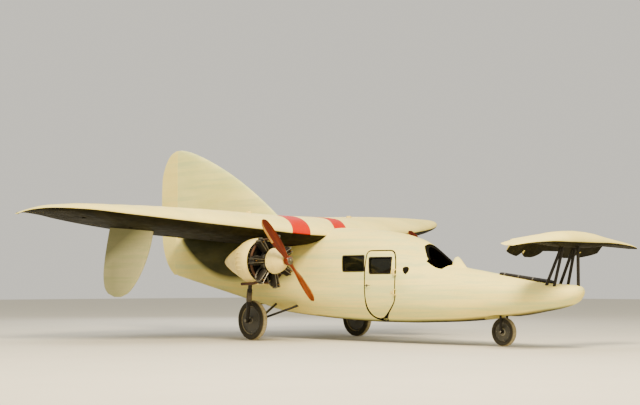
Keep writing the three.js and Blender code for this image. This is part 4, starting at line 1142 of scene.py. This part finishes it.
def make_wheel(name, wheel, side):
    """A tyre and a hub on the body that has the wheel's name."""
    radius, width, rim = wheel["radius"] / 1000, wheel["width"] / 1000, wheel["rim"] / 1000
    place = Matrix.Translation(at(wheel["station"], side, wheel["radius"]))
    middle, port = Vector((0, 0, 0)), Vector((0, 1, 0))
    depth, reach = (radius - rim) / 2, (radius + rim) / 2
    profile = []
    for i, (c, s) in enumerate(circle(44)):
        groove = 0.004 if i % 2 and c > 0.55 else 0.0
        profile.append((width / 2 * 0.985 * float(power(s, 0.85)), reach + depth * 0.99 * c - groove))
    parts = Parts()
    parts.ring(RUBBER, profile, middle, port, 112)
    for hand in (-1, 1):
        bead = []
        for across, drop in ((0.44, 0.1), (0.487, 0.12), (0.487, 0.2), (0.44, 0.22)):
            bead.append((across * width * hand, reach - drop * depth))
        parts.ring(RUBBER, bead, middle, port, 112)
    tyre = joined(parts)
    tyre.matrix_world = place
    put(tyre, name + "_tyre_skin", "tyre", name.replace("wheel", "tyre"), body=name, angle=32)

    bore = 0.025 if radius > 0.3 else 0.017
    half = width / 2
    shape = [(-half * 0.85, bore), (-half * 0.85, bore + 0.03), (-half * 0.7, bore + 0.04)]
    shape += [(-half * 0.36, rim * 0.84), (-half * 0.4, rim * 0.9), (-half * 0.53, rim * 0.965)]
    shape.append((-half * 0.53, rim))
    parts = Parts()
    parts.ring(WHEEL, shape + [(-a, b) for a, b in reversed(shape)], middle, port, 96)
    near, far = half * 0.86, half * 0.92
    cap = [(near, bore), (near, bore + 0.034), (far, bore + 0.03), (far, bore)]
    for hand in (-1, 1):
        out = port * hand
        parts.ring(STEEL, cap, middle, out)
        ring = rim * 0.86
        points = [Vector((ring * c, hand * half * 0.37, ring * s)) for c, s in circle(8)]
        parts.studs(points, [out] * 8, 0.007, 0.004)
        valve = Vector((rim * 0.66, hand * half * 0.4, 0))
        parts.add(STEEL, tube([valve, valve + out * half * 0.28], 0.005, 8))
    hub = joined(parts)
    hub.matrix_world = place
    put(hub, name + "_hub_skin", "wheel_paint", name.replace("wheel", "hub"), body=name, angle=30)


def make_main_leg(name, sign):
    """A sprung leg with its shock cord, two braces, axle and knuckles."""
    station, low, side = MAIN_WHEEL["station"], MAIN_WHEEL["radius"], sign * MAIN_WHEEL_SIDE
    outer, inner = at(station, side + sign * 125, low), at(station, side - sign * 125, low)
    top = at(5760, sign * 1650, 1210)
    along = (top - outer).normalized()
    share = (top - outer).length / 0.88
    parts = Parts()
    parts.add(BLACK, bar(outer, top, 0.0295, flat=1.3, sides=28))
    sleeve = [(0.30, 0.03), (0.30, 0.043), (0.31, 0.046), (0.33, 0.046), (0.335, 0.042)]
    sleeve += [(0.52, 0.042), (0.525, 0.046), (0.545, 0.046), (0.555, 0.043), (0.555, 0.03)]
    parts.ring(BLACK, [(a * share, b) for a, b in sleeve], outer, along, 36)
    for k in range(9):
        x = (0.355 + 0.018 * k) * share
        cord = [(x, 0.04), (x, 0.048), (x + 0.0085, 0.0495), (x + 0.0125, 0.048), (x + 0.0125, 0.04)]
        parts.ring(CORD, cord, outer, along, 32)
    for place in (5780, 6500):
        foot = at(place, sign * 395, 640)
        parts.add(BLACK, bar(inner, foot, 0.0195, flat=1.45))
        cuff = [(0.03, 0.02), (0.03, 0.031), (0.085, 0.029), (0.09, 0.02)]
        parts.ring(STEEL, cuff, inner, (foot - inner).normalized(), 24)
    across, hub = Vector((0, sign, 0)), at(station, side, low)
    axle = [(-0.167, 0.001), (-0.167, 0.0235), (0.167, 0.0235), (0.167, 0.001)]
    parts.turn(STEEL, axle, hub, across, 32)
    for x in (-0.159, 0.093):
        knuckle = [(x, 0.001), (x, 0.038), (x + 0.006, 0.044)]
        knuckle += [(x + 0.06, 0.044), (x + 0.066, 0.038), (x + 0.066, 0.001)]
        parts.turn(BLACK, knuckle, hub, across, 40)
    nut = [(0.159, 0.001), (0.159, 0.034), (0.176, 0.034), (0.18, 0.028), (0.18, 0.001)]
    parts.turn(STEEL, nut, hub, across, 6)
    parts.put("main_leg_skin_" + name, "black_paint", "main_leg_" + name)


def make_nose_fork():
    station, radius = NOSE_WHEEL["station"], NOSE_WHEEL["radius"]
    reach, crown = NOSE_WHEEL["width"] / 2 + 26, 2 * radius + 28
    end = [(-0.013, 0.001), (-0.013, 0.028), (-0.01, 0.03), (0.01, 0.03), (0.013, 0.028), (0.013, 0.001)]
    nut = [(0.012, 0.001), (0.012, 0.022), (0.024, 0.022), (0.027, 0.018), (0.027, 0.001)]
    parts = Parts()
    for sign in (-1, 1):
        low, high = at(station, sign * reach, radius), at(station, sign * reach, crown + 20)
        parts.add(BLACK, bar(low, high, 0.013, flat=1.7))
        out = Vector((0, sign, 0))
        parts.turn(BLACK, end, low, out, 32)
        parts.turn(STEEL, nut, low, out, 6)
    parts.add(STEEL, bar(at(station, -reach - 18, radius), at(station, reach + 18, radius), 0.0155))
    head = (0.09, 2 * (reach + 18) / 1000, 0.036)
    parts.add(BLACK, brick(at(station, 0, crown + 18), head, None, 0.25))
    stem = [(0.02, 0.001), (0.02, 0.046), (0.05, 0.046), (0.053, 0.038), (0.1515, 0.038), (0.1515, 0.001)]
    parts.turn(BLACK, stem, at(station, 0, crown), UP, 36)
    parts.add(STEEL, brick(at(station - 55, 0, crown + 17), (0.04, 0.044, 0.03), None, 0.08))
    bolts = [at(station, sign * (reach - 4), crown + 36) for sign in (-1, 1)]
    parts.studs(bolts, [UP, UP], 0.011, 0.008)
    parts.put("nose_fork_skin", "black_paint", "nose_fork", body="steering")


def make_struts():
    """The struts under the foreplane and the control duct on the nose."""
    foil = surface(both_sides(FOREPLANE), camber=FOREPLANE_CAMBER, grow=SKIN_ROOM, steps=30)
    nose = fuselage(NOSE_TIP, CABIN_START, -SKIN_ROOM)
    cuff = [(0.0, 0.018), (0.0, 0.0255), (0.045, 0.0245), (0.045, 0.018)]
    for name, sign in SIDES:
        parts = Parts()
        for foot in (650, 475):
            low, high = at(foot, sign * 175, 850), at(265, sign * 150, STRUT_TOP)
            parts.add(BLACK, bar(low, high, 0.0165, flat=1.65, sides=28))
            boolean(parts[-1], foil, nose)
            for share in (0.2, 0.93):
                parts.ring(BLACK, cuff, low + (high - low) * share, (high - low).normalized(), 24)
                boolean(parts[-1], foil, nose)
        parts.put("foreplane_struts_skin_" + name, "black_paint", "foreplane_struts_" + name)
    post = bar(at(130, 0, 850), at(130, 0, STRUT_TOP), 0.0185, flat=1.5, sides=28)
    boolean(post, foil, nose)
    put(post, "post", "black_paint", "foreplane_post_front", material=BLACK)

    start, end = at(590, 0, 998), at(1620, 0, 1140)
    rings = []
    for i in range(25):
        size = (0.046 - 0.01 * i / 24) * (1.0 if 0 < i < 24 else 0.82)
        centre = start + (end - start) * (i / 24)
        rings.append([centre + Vector((0, size * c, size * s)) for c, s in circle(28)])
    parts = Parts()
    parts.add(BLACK, loft(rings))
    boolean(parts[0], nose)
    for i in range(4):
        share = 0.08 + 0.27 * i
        size = 0.0475 - 0.01 * share
        strap = [(0.0, size - 0.004), (0.0, size), (0.022, size), (0.022, size - 0.004)]
        parts.ring(STEEL, strap, start + (end - start) * share, (end - start).normalized(), 36)
        boolean(parts[-1], nose)
    parts.put("control_duct_skin", "black_paint", "control_duct")
    remove(foil, nose)


# Cabin


def cushion(size, crown):
    """A stuffed leather pad: crowned faces, sides that pull in and sewn channels."""
    channels, count, lifts = 5, 28, 6
    half = Vector(size) / 2
    points, faces, index = [], [], {}

    def corner(u, v, w):
        key = (round(u * count), round(v * count), round(w * lifts))
        if key not in index:
            a, b, c = 2 * u - 1, 2 * v - 1, 2 * w - 1
            fill = (1 - abs(a) ** 2.6) * (1 - abs(b) ** 2.6)
            pull = 1 - 0.035 * (1 - a * a) * (abs(b) > 0.999) - 0.035 * (1 - b * b) * (abs(a) > 0.999)
            sew = sum(exp(-((v - k / channels) * size[1] / 0.009) ** 2) for k in range(1, channels))
            wide = pull * (1 - 0.1 * (abs(a) ** 8 + abs(b) ** 8) * abs(c)) * (1 + 0.025 * (1 - c * c))
            high = half.z * c * (0.82 if abs(c) > 0.999 else 1.0)
            if c > 0.999:
                high += crown * fill**0.7 - 0.011 * sew * (fill > 0.02)
            index[key] = len(points)
            points.append(Vector((half.x * a * wide, half.y * b * wide, high)))
        return index[key]

    steps = [i / count for i in range(count + 1)]
    levels = [i / lifts for i in range(lifts + 1)]
    for u, p in zip(steps, steps[1:]):
        for v, q in zip(steps, steps[1:]):
            for w in (0.0, 1.0):
                faces.append([corner(a, b, w) for a, b in ((u, v), (p, v), (p, q), (u, q))])
    for u, p in zip(steps, steps[1:]):
        for w, x in zip(levels, levels[1:]):
            for edge in (0.0, 1.0):
                spots = ((u, w), (p, w), (p, x), (u, x))
                faces.append([corner(a, edge, c) for a, c in spots])
                faces.append([corner(edge, b, c) for b, c in spots])
    made = outward(new_object(points, faces))
    change = made.modifiers.new("soft", "SUBSURF")
    change.levels = change.render_levels = 1
    return baked(made)


def welt(size):
    """The piped seam round a pad's upper edge."""
    points = []
    for i in range(81):
        angle = 2 * pi * i / 80
        a, b = power(cos(angle), 0.22), power(sin(angle), 0.22)
        points.append(Vector((size[0] / 2 * 0.955 * a, size[1] / 2 * 0.955 * b, size[2] * 0.4)))
    return tube(points, 0.0045, 8)


def make_seat(node, front, side, width):
    """A tube frame with a tray, a cushion and a back, whose foremost point has a station."""
    parts = Parts()
    for y in (side - width / 2 + 22, side + width / 2 - 22):
        for low, high in ((110, 100), (365, 385)):
            legs = [at(front + low, y, FLOOR + 2), at(front + high, y, FLOOR + 185)]
            parts.add(STEEL, tube(legs, 0.011))
        rail = ((20, 196), (385, 186), (455, 660))
        parts.add(STEEL, tube([at(front + x, y, FLOOR + z) for x, z in rail], 0.011))
    for x, z in ((105, 60), (370, 60), (456, 655)):
        ends = [at(front + x, side + y, FLOOR + z) for y in (22 - width / 2, width / 2 - 22)]
        parts.add(STEEL, tube(ends, 0.009))
    tray = ((0.37, (width - 30) / 1000, 0.012), Matrix.Rotation(0.03, 3, "Y"), 0.3)
    parts.add(STEEL, brick(at(front + 200, side, FLOOR + 196), *tray))
    parts.put(node + "_frame", "black_paint", node)

    wide = (width - 20) / 1000
    for name, x, z, size, crown, lean in (
        ("_cushion", 195, 238, (0.375, wide, 0.085), 0.022, 0.05),
        ("_back", 440, 475, (0.4, wide, 0.07), 0.02, radians(80)),
    ):
        place = Matrix.Translation(at(front + x, side, FLOOR + z)) @ Matrix.Rotation(lean, 4, "Y")
        pad = cushion(size, crown)
        pad.data.transform(place)
        put(pad, node + name, "leather", node, material=LEATHER, angle=60)
        piping = welt(size)
        piping.data.transform(place)
        put(piping, node + name + "_welt", "leather", material=LEATHER, angle=60)


def make_panel():
    """The instrument panel, its dials with twelve marks and a hand each."""
    inside = fuselage(2300, 2600, WALL + 0.5)
    board = box(2440, 2465, -700, 700, 880, 1180)
    boolean(board, inside, how="INTERSECT")
    remove(inside)
    parts = Parts()
    parts.add(PANEL, board)
    dials = ((-250, 1060, 38), (-150, 1080, 50), (-20, 1085, 55), (115, 1080, 50), (215, 1060, 38))
    for side, height, radius in (*dials, (-85, 975, 38), (60, 975, 38)):
        spot = at(2465, side, height)
        r = radius / 1000
        rim = [(-0.004, r), (0.008, r), (0.01, r - 0.004), (0.006, r - 0.007), (-0.004, r - 0.007)]
        parts.ring(BRASS, rim, spot, AFT, 36)
        face = [(-0.002, r - 0.006), (0.003, r - 0.006), (0.003, 0.0005), (-0.002, 0.0005)]
        parts.turn(BLACK, face, spot, AFT, 36)
        marks = [(2 * pi * k / 12, 0.0036, r - 0.012, (0.002, 0.0012, 0.008)) for k in range(12)]
        for angle, lift, out, size in (*marks, (radius, 0.0045, r * 0.25, (0.0025, 0.0012, r * 0.9))):
            way = Vector((0, sin(angle), cos(angle)))
            turn = Matrix((way.cross(AFT), AFT, way)).transposed()
            parts.add(IVORY, brick(spot + AFT * lift + way * out, size, turn))
    parts.put("instrument_panel_skin", "panel", "instrument_panel")


def make_column():
    """The control column with its wheel and a leather boot."""
    centre, foot = at(2610, 0, 1040), at(2640, 0, FLOOR + 20)
    rim = [Vector((0, 0.135 * c, 0.135 * s)) for c, s in circle(48)]
    wheel = Parts()
    wheel.add(WOOD, tube(rim + rim[:1], 0.012, 14))
    hub = [(-0.02, 0.001), (-0.02, 0.024), (0.02, 0.024), (0.02, 0.001)]
    wheel.turn(STEEL, hub, Vector((0, 0, 0)), FORE, 28)
    for angle in (0.0, pi, -pi / 2):
        way = Vector((0, cos(angle), sin(angle)))
        wheel.add(STEEL, tube([way * 0.01, way * 0.13], 0.007, 10))
    parts = Parts([joined(wheel)])
    parts[0].data.transform(Matrix.Translation(centre) @ Matrix.Rotation(radians(-20), 4, "Y"))
    parts.add(BLACK, bar(foot, centre, 0.0155), brick(foot, (0.1, 0.12, 0.038), None, 0.2))
    boot = [(0.0, 0.001), (0.0, 0.05), (0.03, 0.036), (0.05, 0.03), (0.07, 0.018), (0.07, 0.001)]
    parts.turn(LEATHER, boot, at(2640, 0, FLOOR + 38), UP, 28)
    parts.put("control_column_skin", "black_paint", "control_column")


def make_cabin():
    make_seat("pilot_seat", 2760, 0, 420)
    make_seat("passenger_seat_front_left", 3560, 290, 400)
    make_seat("passenger_seat_rear_left", 4560, 290, 400)
    make_seat("passenger_seat_rear_right", 4560, -290, 400)
    make_panel()
    make_column()


# Panes, frames and small fittings


def make_windows():
    outer, inner = layer(*GLAZED, *PANE_DEPTHS)
    proud, under = layer(*GLAZED, *FRAME_DEPTHS)
    for name in WINDOWS:
        body = "door" if name == "window_door" else "airframe"
        pane = window_cutter(name, 0)
        boolean(pane, outer, how="INTERSECT")
        boolean(pane, inner)
        put(pane, name + "_pane", "glass", name, body=body, material=GLASS)
        ring, hole = window_cutter(name, FRAME_OUTSIDE), window_cutter(name, -FRAME_INSIDE)
        boolean(ring, hole)
        boolean(ring, proud, how="INTERSECT")
        boolean(ring, under)
        put(ring, name + "_frame", "black_paint", body=body, material=BLACK)
        remove(hole)
    # A black strip round the door at the skin: painted shade of the door's gap.
    shade_strip, gap = door_prism(DOOR_SHADE_STRIP), door_prism(DOOR_ROOM)
    skin_form = fuselage(*GLAZED, SHADE_STRIP_DEPTH)
    boolean(shade_strip, gap)
    boolean(shade_strip, skin_form, how="INTERSECT")
    boolean(shade_strip, under)
    put(shade_strip, "door_shade_strip", "black_paint", material=BLACK)
    remove(outer, inner, proud, under, gap, skin_form)


def make_fairing():
    """The windscreen fairing, on arches from the nose to the cockpit's mouth."""
    rows = [(2290, 30, 1225), (2390, 75, 1320), (2470, 105, 1405), (2510, 112, 1432), (2540, 108, 1422)]
    rings = []
    for station, half, top in smooth_rows(rows, np.linspace(2290, 2540, 16)):
        ring = []
        for i in range(33):
            angle = pi * i / 32
            high = 1150 + (top - 1150) * float(power(sin(angle), 0.9))
            ring.append(at(station, half * cos(angle), high))
        rings.append(ring)
    made, skin_form = loft(rings), fuselage(CABIN_START, 3000, -SKIN_ROOM)
    boolean(made, skin_form)
    remove(skin_form)
    put(made, "windscreen_fairing_skin", "cream_ply", "windscreen_fairing", material=SKIN_PLY)


def fuselage_fittings():
    """A shield-shaped mark, hinge halves and pins for the door, rudder lugs and the jack pad."""
    parts = Parts()
    shield = corner_cut([(3207, 1268), (3110, 1268), (3092, 1200), (3126, 1132), (3196, 1196)], 3)
    middle = shield.mean(axis=0)
    rings = []
    for lift, size in ((-0.012, 1.0), (0.003, 1.0), (0.006, 0.9), (0.0065, 0.5)):
        places = [skin_side(*place) for place in middle + (shield - middle) * size]
        rings.append([spot + normal * lift for spot, normal in places])
    parts.add(GAP_SHADE_AND_DARK_PAINT, loft(rings))
    places = [skin_side(*place) for place in (middle + (shield - middle) * 1.2)[::5]]
    parts.studs(*zip(*places), 0.004, 0.002)
    for height in DOOR_HINGES:
        centre = at(*DOOR_HINGE_PLACE, height)
        for low in (0.044, -0.044):
            parts.add(COWL, brick(centre + UP * low, (0.03, 0.02, 0.012), None, 0.2))
            parts.add(COWL, brick(at(3302, -655, height + low * 1000), (0.045, 0.03, 0.012), None, 0.2))
        parts.add(STEEL, bar(centre - UP * 0.046, centre + UP * 0.046, 0.005, sides=16))
    lug = [(0.0, 0.0095), (0.0, 0.02), (0.016, 0.02), (0.016, 0.0095)]
    for height in (1400, 2700):
        parts.ring(STEEL, lug, at(HINGE, 0, height), UP, 28)
        parts.add(STEEL, brick(at(HINGE - 42, 0, height + 8), (0.052, 0.04, 0.016), None, 0.15))
    parts.add(BLACK, brick(at(7310, 0, 672), (0.12, 0.12, 0.134), None, 0.05))
    parts.put("fuselage_fittings", "black_paint")


def door_fittings():
    """Hinge knuckles with their leaves, and a handle."""
    parts = Parts()
    knuckle = [(-0.032, 0.0062), (-0.032, 0.013), (0.032, 0.013), (0.032, 0.0062)]
    for height in DOOR_HINGES:
        parts.ring(COWL, knuckle, at(*DOOR_HINGE_PLACE, height), UP, 24)
        for k in range(3):
            spot, normal = skin_side(3352 + 24 * k, height)
            turn = Matrix((FORE, normal.cross(FORE), normal)).transposed()
            parts.add(COWL, brick(spot + normal * 0.002, (0.026, 0.05, 0.01), turn, 0.3))
    spot, normal = skin_side(3948, 960)
    parts.add(STEEL, tube([spot - normal * 0.01, spot + normal * 0.032], 0.008))
    grip = [spot + normal * lift + FORE * x for lift, x in ((0.03, 0), (0.036, 0.03), (0.034, 0.1))]
    parts.add(STEEL, tube(grip, [0.008, 0.007, 0.006]))
    plate = [(-0.004, 0.022), (0.002, 0.022), (0.003, 0.019), (0.003, 0.001)]
    parts.turn(STEEL, plate, spot, normal, 28)
    parts.put("door_fittings", "black_paint", body="door")


def wing_fittings():
    """Tip lamps, covers on the underside and filler caps on top."""
    parts = Parts()
    glow = [(-0.05, 0.001), (-0.045, 0.013), (-0.02, 0.02), (0.01, 0.018), (0.035, 0.008), (0.04, 0.001)]
    disc = [(-0.006, 0.055), (0.0035, 0.055), (0.0045, 0.05), (0.0045, 0.001)]
    neck = [(-0.02, 0.05), (0.012, 0.05), (0.014, 0.045), (0.024, 0.045), (0.028, 0.038), (0.028, 0.001)]
    for sign in (-1, 1):
        parts.turn(LAMP_RED if sign > 0 else LAMP_GREEN, glow, at(7905, sign * 4960, 2172), FORE, 24)
        for side, station in ((3000, 7400), (4000, 7350), (1500, 7000), (1500, 8300), (700, 7600)):
            height, half = depth_at(WING, side, station, WING_CAMBER)
            parts.turn(GAP_SHADE_AND_DARK_PAINT, disc, at(station, sign * side, height - half), Vector((0.02, 0, -1)), 36)
        height, half = depth_at(WING, 1250, 6300, WING_CAMBER)
        parts.turn(COWL, neck, at(6300, sign * 1250, height + half - 0.01), UP, 36)
    parts.put("wing_fittings", "engine_metal")


# Studio


def make_studio():
    floor = new_object([(-60, -60, 0), (60, -60, 0), (60, 60, 0), (-60, 60, 0)], [(0, 1, 2, 3)])
    floor.name = "floor"
    made = Finish("studio_floor", Roughness=0.9)
    floor.data.materials.append(made.colour(made.mix(made.noise(0.8, 3), "d6d1c2", "cdc8b8")))
    floor.location.z = -0.002
    world = bpy.data.worlds.new("studio")
    bpy.context.scene.world = world
    world.use_nodes = True
    back = world.node_tree.nodes["Background"]
    back.inputs["Color"].default_value = rgb("efeadd")
    back.inputs["Strength"].default_value = 0.98
    # name, place, aim, watts, width, tint
    lights = (
        ("key", (11, -9, 13), (1, 0, 0.9), 7700, 6.0, "ffedcb"),
        ("top", (-2, -2, 13), (-1, 0, 1), 900, 10.0, "fffaf0"),
        ("rim", (-12, 8, 8), (-2, 0, 1.5), 700, 6.0, "f3f6ff"),
    )
    for name, place, aim, watts, width, tint in lights:
        data = bpy.data.lights.new(name, "AREA")
        data.energy, data.size, data.color = watts, width, rgb(tint)[:3]
        light = bpy.data.objects.new(name, data)
        light.location = place
        light.rotation_mode = "QUATERNION"
        light.rotation_quaternion = (Vector(aim) - Vector(place)).to_track_quat("-Z", "Y")
        bpy.context.scene.collection.objects.link(light)


def make_camera():
    """The photograph's camera, as solved from it."""
    data = bpy.data.cameras.new("camera")
    data.lens, data.sensor_width = 75.9, 36.0
    data.clip_end = 500
    camera = bpy.data.objects.new("camera", data)
    camera.location = (17.22, -16.83, 0.98)
    camera.rotation_euler = (radians(90 + 3.47), 0, radians(46.5))
    bpy.context.scene.collection.objects.link(camera)
    bpy.context.scene.camera = camera


make_studio()
make_camera()
make_fuselage()
make_wing()
make_tail()
make_foreplane()
make_windows()
make_fairing()
wing_gap = wing_form()
for name, sign in SIDES:
    make_nacelle(name, sign, wing_gap)
    make_engine(name, sign)
    make_nose_cowl(name, sign)
    make_propeller(name, sign)
remove(wing_gap)
make_wheel("nose_wheel", NOSE_WHEEL, 0)
for name, sign in SIDES:
    make_wheel("main_wheel_" + name, MAIN_WHEEL, sign * MAIN_WHEEL_SIDE)
    make_main_leg(name, sign)
make_nose_fork()
make_struts()
make_cabin()
fuselage_fittings()
door_fittings()
wing_fittings()
